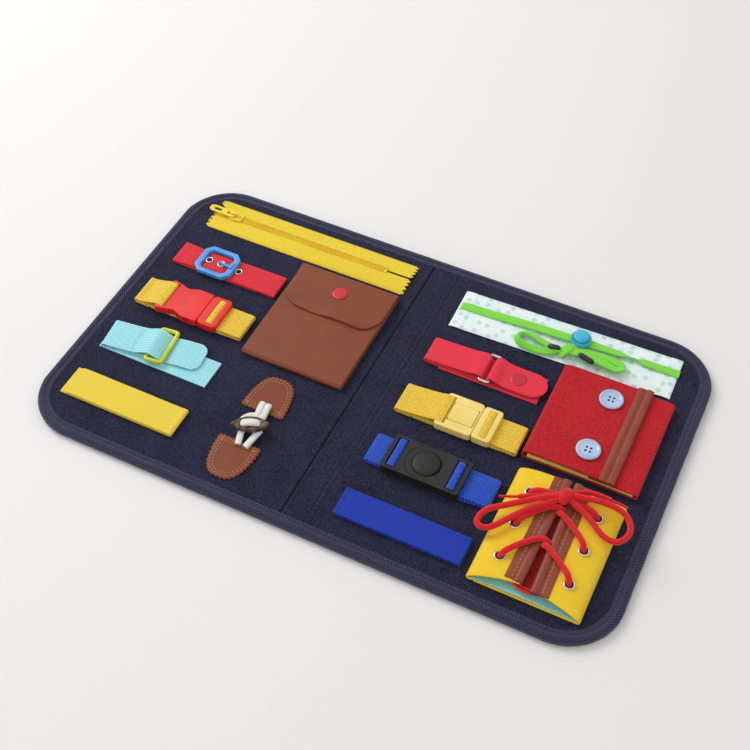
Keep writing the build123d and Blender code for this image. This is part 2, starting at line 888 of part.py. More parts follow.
with BuildPart() as drawstring:
    route = [
        (1.0, cord_low),
        (22.0, cord_low),
        (52.0, cord_high),
        (strip_length - 36.0, cord_high),
        (strip_length - 16.0, cord_low),
        (strip_length - 1.0, cord_low),
    ]
    band(cord_here, route, flat_cord_thickness, flat_cord_width, bend=6.0)
finish(drawstring, "drawstring_cord")

with BuildPart() as lock_body:
    low = strip_thickness + soft_gap
    with BuildSketch(cord_here.offset(low)) as barrel:
        with Locations((lock_from_start, 0)):
            Circle(lock_radius)
    extrude(barrel.sketch, amount=lock_height)
    fillet(lock_body.faces().sort_by(Axis.Z)[0].edges(), 1.0)
    half_slot = flat_cord_thickness / 2 + running_gap
    pocket(
        cord_here, lock_from_start - 12, 24, flat_cord_width + 2 * running_gap,
        cord_high - half_slot, cord_high + half_slot,
    )
    well = low + lock_height - lock_travel - 1.0
    with BuildSketch(cord_here.offset(well)) as recess:
        with Locations((lock_from_start, 0)):
            Circle(lock_button_radius + 0.2)
    extrude(recess.sketch, amount=lock_height, mode=Mode.SUBTRACT)
finish(lock_body, "cord_lock_body")

with BuildPart() as lock_button:
    with BuildSketch(cord_here.offset(well + lock_travel + 0.4)) as cap:
        with Locations((lock_from_start, 0)):
            Circle(lock_button_radius)
    extrude(cap.sketch, amount=lock_button_height)
    fillet(lock_button.faces().sort_by(Axis.Z)[-1].edges(), 1.8)
finish(lock_button, "cord_lock_button")

bow_height = strip_thickness + soft_gap
with BuildPart() as bow:
    knot = (lock_from_start - lock_radius * 0.8, -lock_radius - bow_depth * 0.85)
    for side, reach in ((-1, bow_reach), (1, bow_reach * 1.1)):
        loop = [
            (knot[0] + side * reach * x, knot[1] + bow_depth * y)
            for x, y in (
                (0.08, -0.21), (0.53, -0.27), (0.96, -0.13), (1.0, 0.85), (0.53, 0.72), (0.08, 0.32)
            )
        ]
        flat_cord(cord_here, loop, bow_height, bow_cord, bow_cord * 1.2, bend=bow_cord * 0.8)
    with BuildSketch(cord_here.offset(bow_height)) as knot_plan:
        with Locations(knot):
            RectangleRounded(bow_cord * 3, bow_cord * 2.7, bow_cord * 0.8)
    extrude(knot_plan.sketch, amount=bow_cord * 1.4)
    for side, y, angle in ((-1, 0.45, 20.0), (1, -0.08, -20.0)):
        middle = cord_here.from_local_coords(
            Vector(
                knot[0] + side * bow_reach * 0.39,
                knot[1] + bow_depth * y,
                bow_height + bow_cord + aglet_radius + 0.2,
            )
        )
        turn = cord_slant - angle
        with Locations(Plane(origin=middle, x_dir=(cos(radians(turn)), sin(radians(turn)), 0))):
            Cylinder(aglet_radius, aglet_length, rotation=(0, 90, 0))
finish(bow, "drawstring_bow")

# ---------------------------------------------------------------- snap strap with a ring
snap_here = place(right_start, right_row)
silver_ring_start = strap_length - tongue_run
left_bar = silver_ring_start + silver_wire_radius
right_bar = silver_ring_start + silver_ring_width - silver_wire_radius
tongue_height = base_top + stud_height + running_gap + webbing_thickness / 2

with BuildPart() as snap_webbing:
    base_strip(snap_here)
    sloping_loop(snap_here, 0, left_bar, ring_height(silver_wire_radius), silver_wire_radius)
    with BuildSketch(snap_here.offset(base_top)) as stud:
        with Locations((strap_length - snap_from_tip, 0)):
            Circle(stud_radius)
    extrude(stud.sketch, amount=stud_height)
finish(snap_webbing, "snap_webbing")

with BuildPart() as silver_ring:
    add_ring(snap_here, silver_ring_start, silver_ring_width, silver_wire_radius)
finish(silver_ring, "silver_ring")

with BuildPart() as tongue:
    add_tail(snap_here, right_bar, silver_wire_radius, strap_length, tongue_height)
    tip = tongue.edges().filter_by(Axis.Z).sort_by(Axis.X)[-2:]
    fillet(tip, tongue_tip_radius)
finish(tongue, "snap_tongue")

with BuildPart() as snap_cap:
    with BuildSketch(snap_here.offset(tongue_height + webbing_thickness / 2)) as cap:
        with Locations((strap_length - snap_from_tip, 0)):
            Circle(snap_radius)
    extrude(cap.sketch, amount=snap_height)
    fillet(snap_cap.faces().sort_by(Axis.Z)[-1].edges(), 0.9)
finish(snap_cap, "snap_cap")

# ---------------------------------------------------------------- press-panel buckle
press_here = place(right_start, right_row - row_pitch)
press_end = press_socket_start + press_socket_length
press_bar = press_socket_start + bar_radius + bar_inset
panel_low = buckle_high + panel_rise - panel_thickness

with BuildPart() as press_socket:
    buckle_body(press_here, press_socket_start, press_socket_length, buckle_width, 2.5)
    fillet(press_socket.faces().sort_by(Axis.Z)[-1].edges(), 0.9)
    reach = wrap_radius(bar_radius) + webbing_thickness / 2 + running_gap
    pocket(press_here, press_socket_start - 1, press_bar - press_socket_start + 1 + reach,
           slot_width, buckle_low - 1, buckle_high + 1)
    rod(press_here, press_bar, bar_height, bar_radius, rod_length)
    panel_start = press_end - press_panel - panel_from_end
    pocket(press_here, panel_start - 0.3, press_panel + 0.6, press_panel + 0.6,
           panel_low - press_travel - 0.3, buckle_high + 1)
    pocket(press_here, press_end - 9.0, 10, 14.6, buckle_low + 1.4, buckle_low + 4.0)
finish(press_socket, "press_buckle_socket")

with BuildPart() as press_button:
    with BuildSketch(press_here.offset(panel_low)) as panel:
        with Locations((panel_start + press_panel / 2, 0)):
            RectangleRounded(press_panel, press_panel, 1.6)
    extrude(panel.sketch, amount=panel_thickness)
    fillet(press_button.faces().sort_by(Axis.Z)[-1].edges(), 0.5)
finish(press_button, "press_buckle_panel")

press_plug_start = press_end + running_gap
press_plug_bar = press_plug_start + press_plug_length - 8.6
with BuildPart() as press_plug:
    buckle_body(press_here, press_plug_start, press_plug_length, buckle_width - 0.8, 3.0)
    fillet(press_plug.faces().sort_by(Axis.Z)[-1].edges(), 0.9)
    pocket(press_here, press_plug_bar - reach, 2 * reach, slot_width, buckle_low - 1,
           buckle_high + 1)
    pocket(press_here, press_plug_bar, 20, slot_width, buckle_low - 1, rail_low)
    rod(press_here, press_plug_bar, bar_height, bar_radius, rod_length)
    with BuildSketch(press_here.offset(buckle_low + 1.7)) as blade:
        with Locations((press_plug_start - 4.0, 0)):
            Rectangle(8.4, 14.0)
    extrude(blade.sketch, amount=2.0)
finish(press_plug, "press_buckle_plug")

with BuildPart() as press_webbing:
    base_strip(press_here)
    sloping_loop(press_here, 0, press_bar, bar_height, bar_radius)
finish(press_webbing, "press_webbing")

with BuildPart() as press_plug_webbing:
    low_loop(press_here, strap_length, press_plug_bar, bar_height, bar_radius)
finish(press_plug_webbing, "press_plug_webbing")

# ---------------------------------------------------------------- round-button buckle
round_here = place(right_start, right_row - 2 * row_pitch)
round_end = round_buckle_start + round_buckle_length
round_middle = (round_buckle_start + round_end) / 2
left_slot_bar = round_buckle_start + buckle_rail + reach
right_slot_bar = round_end - buckle_rail - reach
nose = round_middle


def round_blank(keep_nose):
    """Add one half of the round-button buckle, split by an arc about the button."""
    buckle_body(round_here, round_buckle_start, round_buckle_length, buckle_width, 2.0)
    radius = round_nose_radius + (0 if keep_nose else running_gap)
    mode = Mode.INTERSECT if keep_nose else Mode.SUBTRACT
    with BuildSketch(round_here) as right_side:
        with Locations((nose, 0)):
            Circle(radius)
        side = 2 * round_buckle_length
        with Locations((nose + side / 2 - (0 if keep_nose else running_gap), 0)):
            Rectangle(side, side)
    extrude(right_side.sketch, amount=side, mode=mode)


def strap_slot(bar):
    """Cut a strap's slot with its bar standing in it, and the room below its outer rail."""
    side = 1 if bar > round_middle else -1
    pocket(round_here, bar - reach, 2 * reach, slot_width, buckle_low - 1, buckle_high + 1)
    start = bar if side > 0 else bar - 20
    pocket(round_here, start, 20, slot_width, buckle_low - 1, rail_low)
    rod(round_here, bar, bar_height, bar_radius, rod_length)


with BuildPart() as round_right:
    round_blank(True)
    strap_slot(right_slot_bar)
    with BuildSketch(round_here.offset(buckle_high - button_well)) as well:
        with Locations((nose, 0)):
            Circle(round_button_radius + 0.25)
    extrude(well.sketch, amount=10, mode=Mode.SUBTRACT)
    pocket(round_here, nose - round_nose_radius - 2, round_tongue + 2.6, 16.6,
           buckle_low + 1.2, buckle_low + 3.8)
finish(round_right, "round_buckle_right")

with BuildPart() as round_left:
    round_blank(False)
    strap_slot(left_slot_bar)
    with BuildSketch(round_here.offset(buckle_low + 1.5)) as blade:
        with Locations((nose - round_nose_radius + round_tongue / 2 - 1.5, 0)):
            Rectangle(round_tongue + 3.0, 16.0)
    extrude(blade.sketch, amount=2.0)
finish(round_left, "round_buckle_left")

with BuildPart() as round_button:
    with BuildSketch(round_here.offset(buckle_high - button_well + button_travel + button_rise)) as disc:
        with Locations((nose, 0)):
            Circle(round_button_radius)
    extrude(disc.sketch, amount=button_well - button_travel)
    fillet(round_button.faces().sort_by(Axis.Z)[-1].edges(), 0.8)
finish(round_button, "round_buckle_button")

with BuildPart() as round_webbing:
    base_strip(round_here)
    low_loop(round_here, strap_length, right_slot_bar, bar_height, bar_radius)
finish(round_webbing, "round_webbing")

with BuildPart() as round_left_webbing:
    low_loop(round_here, 0, left_slot_bar, bar_height, bar_radius)
finish(round_left_webbing, "round_left_webbing")

# ---------------------------------------------------------------- cardigan
garment_x = right_start + strap_length + garment_gap
cardigan_here = place(garment_x, -far_edge + cardigan_near + cardigan_length / 2)
felt_half = garment_felt / 2
flap_low = cardigan_rise + garment_felt + running_gap
flap_mid = flap_low + felt_half
flap_hinge = 4.0

with BuildPart() as cardigan_body:
    under = [
        (flap_hinge, flap_mid),
        (1.2, flap_mid),
        (1.2, felt_half),
        (cardigan_width - 1.0, felt_half),
        (cardigan_width - 1.0, cardigan_rise + felt_half),
        (cardigan_width - 34.0, cardigan_rise + felt_half),
    ]
    band(cardigan_here, under, garment_felt, cardigan_length, bend=2.0)
finish(cardigan_body, "cardigan_body")

with BuildPart() as cardigan_flap:
    over = [(flap_hinge + running_gap, flap_mid), (cardigan_flap_width, flap_mid)]
    band(cardigan_here, over, garment_felt, cardigan_length)
finish(cardigan_flap, "cardigan_flap")

with BuildPart() as placket:
    top_side = flap_mid + felt_half
    with BuildSketch(cardigan_here.offset(top_side)) as cover:
        with Locations((cardigan_flap_width - placket_width / 2, 0)):
            Rectangle(placket_width, cardigan_length - 1.0)
    extrude(cover.sketch, amount=placket_thickness)
    with BuildSketch(cardigan_here.offset(flap_low)) as edge:
        with Locations((cardigan_flap_width + placket_thickness / 2, 0)):
            Rectangle(placket_thickness, cardigan_length - 1.0)
    extrude(edge.sketch, amount=garment_felt + placket_thickness)
finish(placket, "cardigan_placket")

with BuildPart() as buttons:
    with BuildSketch(cardigan_here.offset(top_side)) as discs:
        with Locations(
            (cardigan_flap_width - button_from_edge, button_spacing / 2),
            (cardigan_flap_width - button_from_edge, -button_spacing / 2),
        ):
            Circle(button_radius)
            with GridLocations(3.6, 3.6, 2, 2):
                Circle(button_hole_radius, mode=Mode.SUBTRACT)
    extrude(discs.sketch, amount=button_thickness)
    fillet(buttons.faces().group_by(Axis.Z)[-1].edges().filter_by(
        lambda edge: edge.length > 20), 0.9)
finish(buttons, "cardigan_buttons")

# ---------------------------------------------------------------- laced shoe panel
shoe_here = place(garment_x + shoe_shift, -far_edge + shoe_near_margin + shoe_length / 2)
shoe_middle = shoe_width / 2
roof = shoe_rise + felt_half
shoulder = roof - 1.6

with BuildPart() as shoe_panels:
    for side in (1, -1):
        fold = shoe_middle + side * (shoe_middle - 1.0)
        inner = shoe_middle + side * shoe_opening / 2
        path = [
            (shoe_middle + side * 16.0, felt_half),
            (fold, felt_half),
            (fold, shoulder),
            (shoe_middle + side * 22.0, roof),
            (inner, roof),
        ]
        band(shoe_here, path, garment_felt, shoe_length, bend=2.4)
    run = [(shoe_middle - 15.4, felt_half), (shoe_middle + 15.4, felt_half)]
    band(shoe_here, run, garment_felt, shoe_length)
finish(shoe_panels, "shoe_panels")

edge_top = roof + felt_half
with BuildPart() as edge_strips:
    for side in (1, -1):
        with BuildSketch(shoe_here.offset(edge_top)) as strap:
            middle = shoe_middle + side * (shoe_opening / 2 + edge_strip_width / 2)
            with Locations((middle, 0)):
                Rectangle(edge_strip_width, shoe_length - 1.0)
        extrude(strap.sketch, amount=edge_strip_thickness)
finish(edge_strips, "shoe_edge_strips")

eyelet_rows = [i * lace_eyelet_pitch for i in (-1, 0, 1)]
with BuildPart() as lace_eyelets:
    with BuildSketch(shoe_here.offset(edge_top)) as rings:
        spots = [
            (shoe_middle + side * lace_eyelet_spread / 2, y)
            for side in (1, -1)
            for y in eyelet_rows
        ]
        with Locations(*spots):
            Circle(lace_eyelet_radius)
            Circle(lace_eyelet_radius - 1.6, mode=Mode.SUBTRACT)
    extrude(rings.sketch, amount=0.7)
finish(lace_eyelets, "lace_eyelets")

with BuildPart() as shoe_tongue:
    with BuildSketch(shoe_here.offset(shoe_rise - tongue_thickness - 0.2)) as leaf:
        with Locations((shoe_middle, 3.0)):
            Rectangle(tongue_width, shoe_length - 12.0)
        fillet(leaf.vertices().group_by(Axis.Y)[0], 12.0)
    extrude(leaf.sketch, amount=tongue_thickness)
finish(shoe_tongue, "shoe_tongue")

lace_low = edge_top + edge_strip_thickness + 0.3
with BuildPart() as lace:
    half = lace_eyelet_spread / 2
    for i in (0, 1):
        for side in (1, -1):
            path = [
                (shoe_middle - side * half, eyelet_rows[i]),
                (shoe_middle + side * half, eyelet_rows[i + 1]),
            ]
            with BuildSketch(shoe_here.offset(lace_low)) as run:
                with BuildLine():
                    Line(*path)
                trace(line_width=lace_diameter)
            extrude(run.sketch, amount=lace_diameter)
    with BuildSketch(shoe_here.offset(lace_low)) as run:
        with Locations((shoe_middle, eyelet_rows[0])):
            Rectangle(2 * half, lace_diameter)
    extrude(run.sketch, amount=lace_diameter)
    bow_low = lace_low + lace_diameter
    tie = (shoe_middle, eyelet_rows[2] + 2.0)
    for side, drop in ((-1, lace_bow_drop), (1, lace_bow_drop * 0.6)):
        loop = [(tie[0] + side * 0.8, tie[1])] + [
            (tie[0] + side * lace_bow_reach * x, tie[1] + drop * y)
            for x, y in ((0.4, -0.3), (0.92, -1.0), (1.0, 0.0), (0.5, 0.5), (0.06, 0.46))
        ]
        flat_cord(shoe_here, loop, bow_low, lace_diameter, lace_diameter, bend=lace_diameter * 0.9)
    with BuildSketch(shoe_here.offset(bow_low)) as knot_plan:
        with Locations(tie):
            RectangleRounded(lace_diameter * 2.7, lace_diameter * 2.1, lace_diameter * 0.7)
    extrude(knot_plan.sketch, amount=lace_diameter * 1.35)
finish(lace, "lace")
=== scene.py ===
"""A felt busy board, open on a pale table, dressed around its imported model.

Lengths are millimetres inside the shape functions and metres in the meshes.
"""

import json
from math import cos, pi, radians, sin

import bmesh
import bpy
import numpy as np
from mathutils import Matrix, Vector


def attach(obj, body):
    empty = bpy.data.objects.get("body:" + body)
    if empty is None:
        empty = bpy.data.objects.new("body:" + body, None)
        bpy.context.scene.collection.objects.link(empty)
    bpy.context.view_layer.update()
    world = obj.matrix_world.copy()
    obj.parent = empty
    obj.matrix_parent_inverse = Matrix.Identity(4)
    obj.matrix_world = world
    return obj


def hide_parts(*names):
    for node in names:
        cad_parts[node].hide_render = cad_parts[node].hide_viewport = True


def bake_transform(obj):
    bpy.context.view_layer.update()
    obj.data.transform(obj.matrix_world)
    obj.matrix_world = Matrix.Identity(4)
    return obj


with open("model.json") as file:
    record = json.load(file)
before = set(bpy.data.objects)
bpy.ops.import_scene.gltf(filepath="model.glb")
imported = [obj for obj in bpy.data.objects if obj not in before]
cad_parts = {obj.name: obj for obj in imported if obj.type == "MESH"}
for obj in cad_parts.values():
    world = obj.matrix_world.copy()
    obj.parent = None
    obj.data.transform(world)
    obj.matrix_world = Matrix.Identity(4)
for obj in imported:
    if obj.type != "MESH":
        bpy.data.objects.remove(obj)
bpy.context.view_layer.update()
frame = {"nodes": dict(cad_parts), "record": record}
scene = bpy.context.scene

# ---- Camera, table and light
# The board is seen from the front right, from above. The table is matt pale paper.
# A broad light stands beyond the far left corner, and a weaker one fills from in front.
azimuth, elevation, distance = radians(26.0), radians(51.0), 0.846
aim = np.array([-0.0055, 0.0094, 0.0025])
focal_length, sensor = 57.7, 36.0
table_reach, sweep_start, sweep_radius, table_drop = 4.0, 2.2, 1.2, 2e-4
room_colour, room_strength = (1.0, 0.995, 0.985, 1), 0.64


def linear(red, green, blue):
    """Screen colour from 0 to 255 as the shader's linear colour: the display's curve undone."""
    screen = np.array([red, green, blue]) / 255
    low = screen / 12.92
    high = ((screen + 0.055) / 1.055) ** 2.4
    return (*np.where(screen <= 0.04045, low, high), 1.0)


def plug(socket, value):
    """Gives a shader socket its value, or joins another node's output to it."""
    if isinstance(value, bpy.types.NodeSocket):
        value.id_data.links.new(value, socket)
    else:
        socket.default_value = value


def add_node(kind, output, inputs, **settings):
    """The output of a new shader node, made in the tree that its inputs come from."""
    joined = [value for value in inputs.values() if isinstance(value, bpy.types.NodeSocket)]
    node = joined[0].id_data.nodes.new("ShaderNode" + kind)
    for key, value in settings.items():
        setattr(node, key, value)
    for key, value in inputs.items():
        plug(node.inputs[key], value)
    return node.outputs[output]


def board_point(material, scale=(1, 1, 1)):
    """Object coordinates, stretched: the place of a spot on the board."""
    spot = material.node_tree.nodes.new("ShaderNodeTexCoord").outputs["Object"]
    return add_node("Mapping", "Vector", {"Vector": spot, "Scale": scale})


def noise(at, scale, detail=2.0, **more):
    """Cloudy noise from 0 to 1 at a place."""
    return add_node("TexNoise", "Fac", {"Vector": at, "Scale": scale, "Detail": detail, **more})


def two_tone(factor, first, second):
    """One colour turning into another as the factor goes from 0 to 1."""
    return add_node("Mix", "Result", {"Factor": factor, "A": first, "B": second}, data_type="RGBA")


def shaded(material, **sockets):
    """The material, with a value or an output in each of these sockets of its shader."""
    shader = material.node_tree.nodes["Principled BSDF"]
    for key, value in sockets.items():
        plug(shader.inputs[key.replace("_", " ")], value)
    return material


def plain(name, **sockets):
    """A new material whose shader has these values all over."""
    material = bpy.data.materials.new(name)
    material.use_nodes = True
    return shaded(material, **sockets)


def placed(name, data):
    """A new object in the scene."""
    obj = bpy.data.objects.new(name, data)
    scene.collection.objects.link(obj)
    return obj


eye = bpy.data.cameras.new("camera")
eye.lens, eye.sensor_width = focal_length, sensor
eye.clip_start, eye.clip_end = 0.01, 20
camera = placed("camera", eye)
away = np.array([sin(azimuth) * cos(elevation), -cos(azimuth) * cos(elevation), sin(elevation)])
camera.location = aim + distance * away
camera.rotation_euler = Vector(-away).to_track_quat("-Z", "Y").to_euler()
scene.camera = camera

paper = plain("table_paper", Roughness=0.92, Specular_IOR_Level=0.2)
mottle = noise(board_point(paper), 3.0)
shaded(paper, Base_Color=two_tone(mottle, linear(238, 237, 236), linear(241, 240, 239)))
turn = np.linspace(0, pi / 2, 24)
run = sweep_start + sweep_radius * np.concatenate([np.sin(turn), [1]])
run = np.concatenate([[-table_reach], run])
rise = np.concatenate([[0], sweep_radius * (1 - np.cos(turn)), [table_reach]])
edge = np.stack([0 * run, run, rise - table_drop], 1)
corners = np.concatenate([edge - [table_reach, 0, 0], edge + [table_reach, 0, 0]])
n = len(run)
i = np.arange(n - 1)
table_mesh = bpy.data.meshes.new("table")
table_mesh.from_pydata(corners.tolist(), [], np.stack([i, i + n, i + n + 1, i + 1], 1).tolist())
table_mesh.polygons.foreach_set("use_smooth", [True] * (n - 1))
table_mesh.materials.append(paper)
placed("table", table_mesh)

for name, place, size, power in (
    ("window_light", (-1.35, 0.45, 1.3), 1.0, 17.0),
    ("fill_light", (-0.4, -1.6, 1.4), 1.6, 5.0),
):
    lamp = bpy.data.lights.new(name, "AREA")
    lamp.shape, lamp.size, lamp.energy = "SQUARE", size, power
    light = placed(name, lamp)
    light.location = place
    light.rotation_euler = (-Vector(place)).to_track_quat("-Z", "Y").to_euler()
world = bpy.data.worlds.new("room")
world.use_nodes = True
room = world.node_tree.nodes["Background"].inputs
plug(room["Color"], room_colour)
plug(room["Strength"], room_strength)
scene.world = world
scene.view_settings.view_transform = "Standard"

# ---- Felt leaves
# Two felts over a stiff board make each cover, and the same felts alone make
# the hinge strips beside the spine. The felt is needled wool, dark navy.
MM = 0.001
board_length, board_depth, board_top = 424.0, 260.0, 5.0
corner, spine_half, fold_reach, fold_bend = 39.0, 9.5, 6.0, 3.0
flat_end = board_length / 2 - corner
felt_tuck, felt_low, swell_depth, edge_drop, edge_share = 0.7, 0.35, 0.12, 0.8, 0.985


def ramp(factor, low, high, start=0.0, end=1.0):
    """A factor stretched so that low becomes the start and high the end."""
    return add_node("MapRange", "Result", {
        "Value": factor, "From Min": low, "From Max": high, "To Min": start, "To Max": end})


def merged(operation, *values):
    """One number from several, by a Math node."""
    return add_node("Math", 0, dict(enumerate(values)), operation=operation)


def dyed(factor, low, high, dark, light):
    """A colour that turns from dark to light as the factor goes from low to high."""
    return two_tone(ramp(factor, low, high), linear(*dark), linear(*light))


def surfaced(material, colour, height, depth):
    """The material with a colour, and with bump from a height between 0 and 1 that is
    worth a depth in millimetres."""
    bump = add_node("Bump", "Normal", {"Height": height, "Distance": depth * MM})
    return shaded(material, Base_Color=colour, Normal=bump)


def felt(name, dark, light, fibre=900.0, lint=0.0):
    """Needled felt: soft blotches, short tangled fibres and, with lint, a few pale ones."""
    material = plain(
        name, Roughness=0.95, Specular_IOR_Level=0.15, Sheen_Weight=0.12, Sheen_Roughness=0.5)
    here = board_point(material)
    tangle = noise(here, fibre, 5.0, Roughness=0.75, Distortion=1.6)
    fleck = noise(board_point(material, (1.0, 0.55, 1.0)), 1500.0)
    blotch = ramp(noise(here, 45.0, 3.0), -1.6, 2.6)
    mixed = merged("ADD", merged("ADD", tangle, fleck), blotch)
    colour = dyed(mixed, 1.28, 1.72, dark, light)
    if lint:
        pale = tuple(0.75 * a + 0.25 * b for a, b in zip(linear(*light), (0.5, 0.5, 0.55, 1)))
        colour = two_tone(merged("MULTIPLY", ramp(tangle, 0.62, 0.72), lint), colour, pale)
    pills = noise(here, fibre * 0.3, Distortion=0.8)
    return surfaced(material, colour, merged("ADD", tangle, pills), 0.35)


navy_felt = felt("navy_felt", (8, 9, 24), (50, 52, 82), lint=0.35)


def stacked(*parts):
    """Points from their coordinates, each of them an array or one value for all."""
    return np.stack(np.broadcast_arrays(*parts), -1)


def at_board(points, place):
    """Points set out along, across and up from an activity's own start, put on the board:
    turned by its angle, moved to its start and lifted onto the felt."""
    x, y, angle = (*place, 0.0)[:3]
    ahead, beside, up = np.moveaxis(np.asarray(points, float), -1, 0)
    c, s = cos(radians(angle)), sin(radians(angle))
    return stacked(x + c * ahead - s * beside, y + s * ahead + c * beside, board_top + up)


def finish_piece(obj, part, nodes=()):
    """Gives a piece the material of its part, attaches it to the part's body and hides the
    nodes it stands for. The part is a material, a body and a slot; the slot is not used.
    A piece that would bend between two bodies has no body here."""
    material, body, slot = part
    obj.data.materials.append(material)
    if body:
        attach(obj, body)
    if nodes:
        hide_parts(*([nodes] if isinstance(nodes, str) else nodes))
    return obj


def bends(piece, place, start, end):
    """Bakes a piece's placement into its mesh; the piece is not made to bend between two
    bodies. start and end, each along and up, are turned into board places that are not used.
    """
    start, end = at_board([(x, 0, z) for x, z in (start, end)], place) * MM
    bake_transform(piece)


def mesh_piece(name, points, faces, part, nodes=(), uv=None, sharp=None):
    """A piece with a smooth mesh from points in millimetres, its faces turned outwards and
    its edges sharp from an angle on. uv is a pair for each point, in millimetres as well."""
    mesh = bpy.data.meshes.new(name)
    mesh.from_pydata((points.reshape(-1, 3) * MM).tolist(), [], faces)
    work = bmesh.new()
    work.from_mesh(mesh)
    bmesh.ops.recalc_face_normals(work, faces=work.faces)
    work.to_mesh(mesh)
    work.free()
    mesh.polygons.foreach_set("use_smooth", [True] * len(mesh.polygons))
    if uv is not None:
        layer = mesh.uv_layers.new(name="flat")
        at = np.zeros(len(mesh.loops), int)
        mesh.loops.foreach_get("vertex_index", at)
        layer.data.foreach_set("uv", (uv.reshape(-1, 2)[at] * MM).ravel())
    if sharp:
        mesh.set_sharp_from_angle(angle=radians(sharp))
    return finish_piece(placed(name, mesh), part, nodes)


def tube_faces(rings, around, whole=False):
    """Quads between each ring of points and the next, and if the turn is whole, from the
    last ring back to the first."""
    ring, spot = np.indices((rings if whole else rings - 1, around))
    after, beside = (ring + 1) % rings * around, (spot + 1) % around
    ring = ring * around
    return np.stack([ring + spot, ring + beside, after + beside, after + spot], -1).reshape(-1, 4)


def lofted(name, rings, part, nodes=(), uv=None, caps=True, sharp=35.0):
    """A tube through rings of points, an array of ring by point by xyz: quads between one
    ring and the next, and a flat cap on each end ring."""
    count, around = rings.shape[:2]
    faces = tube_faces(count, around).tolist()
    if caps:
        faces += [list(range(around)), list(range((count - 1) * around, count * around))]
    return mesh_piece(name, rings, faces, part, nodes, uv, sharp)


def leaf(name, body, stations, nodes=(), dips=np.zeros(1)):
    """A leaf of navy felt with the board's round corners. Its sections, one at each station,
    are flat below, softly rounded at both edges, and dipped on top by the depth given."""
    x = stations[:, None]
    into = np.maximum(np.abs(x) - flat_end, 0)
    half = board_depth / 2 - corner + np.sqrt(np.maximum(corner**2 - into**2, 0))
    across = np.sin(np.linspace(-pi / 2, pi / 2, 61))
    y = across * (half - felt_tuck)
    swell = swell_depth * (np.sin(x / 21 + 1.3) * np.sin(y / 17) - 1)
    round_off = edge_drop * np.clip(np.abs(across) - edge_share, 0, 1) / (1 - edge_share)
    top = stacked(x, y, board_top + swell - round_off - dips[:, None])
    rings = np.concatenate([top, stacked(x, y[:, ::-1], felt_low)], 1)
    return lofted(name, rings, (navy_felt, body, "navy_felt"), nodes)


def bends_at_fold(piece, side):
    """Bakes a fold piece's placement; the piece is not made to bend along the fold line
    between the spine and a cover.
    """
    start, end = side * (spine_half - fold_bend), side * (spine_half + fold_bend)
    bends(piece, (0, 0), (start, 0), (end, 0))


round_end = np.sin(np.linspace(0, pi / 2, 22)[1:]) * (corner - felt_tuck)
cover_x = np.concatenate([np.linspace(spine_half + fold_reach, flat_end, 40), flat_end + round_end])
leaf("spine_felt", "spine", np.linspace(-1, 1, 5) * (spine_half - fold_reach), "spine")
fold_span = np.linspace(-fold_reach, fold_reach, 41)


def groove(middle, wide):
    """A soft groove on both sides of the fold line, at a distance from it."""
    return np.exp(-(((np.abs(fold_span) - middle) / wide) ** 2))


sharp_crease = 1.5 * groove(0, 0.55) - 0.35 * groove(2.0, 1.1)
double_crease = 0.45 * groove(2.0, 0.6)
for side, name, crease in ((1, "right", double_crease), (-1, "left", sharp_crease)):
    leaf(f"{name}_cover_felt", f"{name}_cover", side * cover_x,
         [f"{name}_felts", f"{name}_stiffener"])
    fold = leaf(f"{name}_fold_felt", None, side * spine_half + fold_span, dips=crease)
    bends_at_fold(fold, side)

# ---- Edge tape
# A twill tape folded over the leaves' edge, sewn through all the layers with
# one line of thread near its inner edge. It bends round the corners in puckers.
tape_width, seam_in = 8.6, 1.4


def outline(side, inset=0.0):
    """The board's edge from the fold round both outer corners and back: straight runs
    and quarter circles, moved inwards by the inset."""
    radius, deep = corner - inset, board_depth / 2 - corner
    turn = np.linspace(0, pi / 2, 22)
    near = stacked(flat_end + radius * np.sin(turn), -deep - radius * np.cos(turn))
    near_x = np.linspace(spine_half + fold_reach, flat_end, 60)[:-1]
    near = np.concatenate([stacked(near_x, inset - board_depth / 2), near])
    side_run = stacked(flat_end + radius, np.linspace(-deep, deep, 60)[1:-1])
    return np.concatenate([near, side_run, near[::-1] * [1, -1]]) * [side, 1]


def along(path):
    """How far each point of a path lies from its start, measured along it."""
    steps = np.linalg.norm(np.diff(path, axis=0), axis=1)
    return np.concatenate([[0], np.cumsum(steps)])


def girth(section):
    """How far each point of a closed section lies from its first one, measured round it."""
    return along(np.concatenate([section, section[:1]]))[:-1]


def evenly(path, step):
    """The path again, with its points a step apart."""
    far = along(path)
    at = np.linspace(0, far[-1], max(2, int(round(far[-1] / step)) + 1))
    return np.stack([np.interp(at, far, path[:, k]) for k in range(path.shape[1])], 1)


def turned(path):
    """The unit direction of a path at each of its points, from its neighbours."""
    ahead = np.gradient(path, axis=0)
    return ahead / np.linalg.norm(ahead, axis=1)[:, None]


def leftwards(ahead):
    """Each direction in a plane, turned a quarter to the left."""
    return stacked(-ahead[:, 1], ahead[:, 0])


def square_to(ahead, up=(0, 0, 1.0)):
    """Two unit directions square to each direction: one beside it, which is square to up as
    well, and one over it."""
    beside = np.cross(ahead, up)
    beside /= np.linalg.norm(beside, axis=1)[:, None]
    return beside, np.cross(beside, ahead)


half_turn = np.linspace(pi / 2, 3 * pi / 2, 15)
inner_edge = np.array([
    (0, -0.5), (0.1, 0.1), (-0.4, 0.45), (-2.2, 0.3), (-3.5, 0.25), (-3.8, 0.35), (-4.2, 0.85),
    (-4.9, 1.05)]) + [tape_width, board_top]
tape_section = np.concatenate([
    inner_edge, stacked(2.9 + 2.9 * np.cos(half_turn), 2.95 + 3.05 * np.sin(half_turn)),
    [(tape_width, 0.0), (tape_width, 0.5)]])


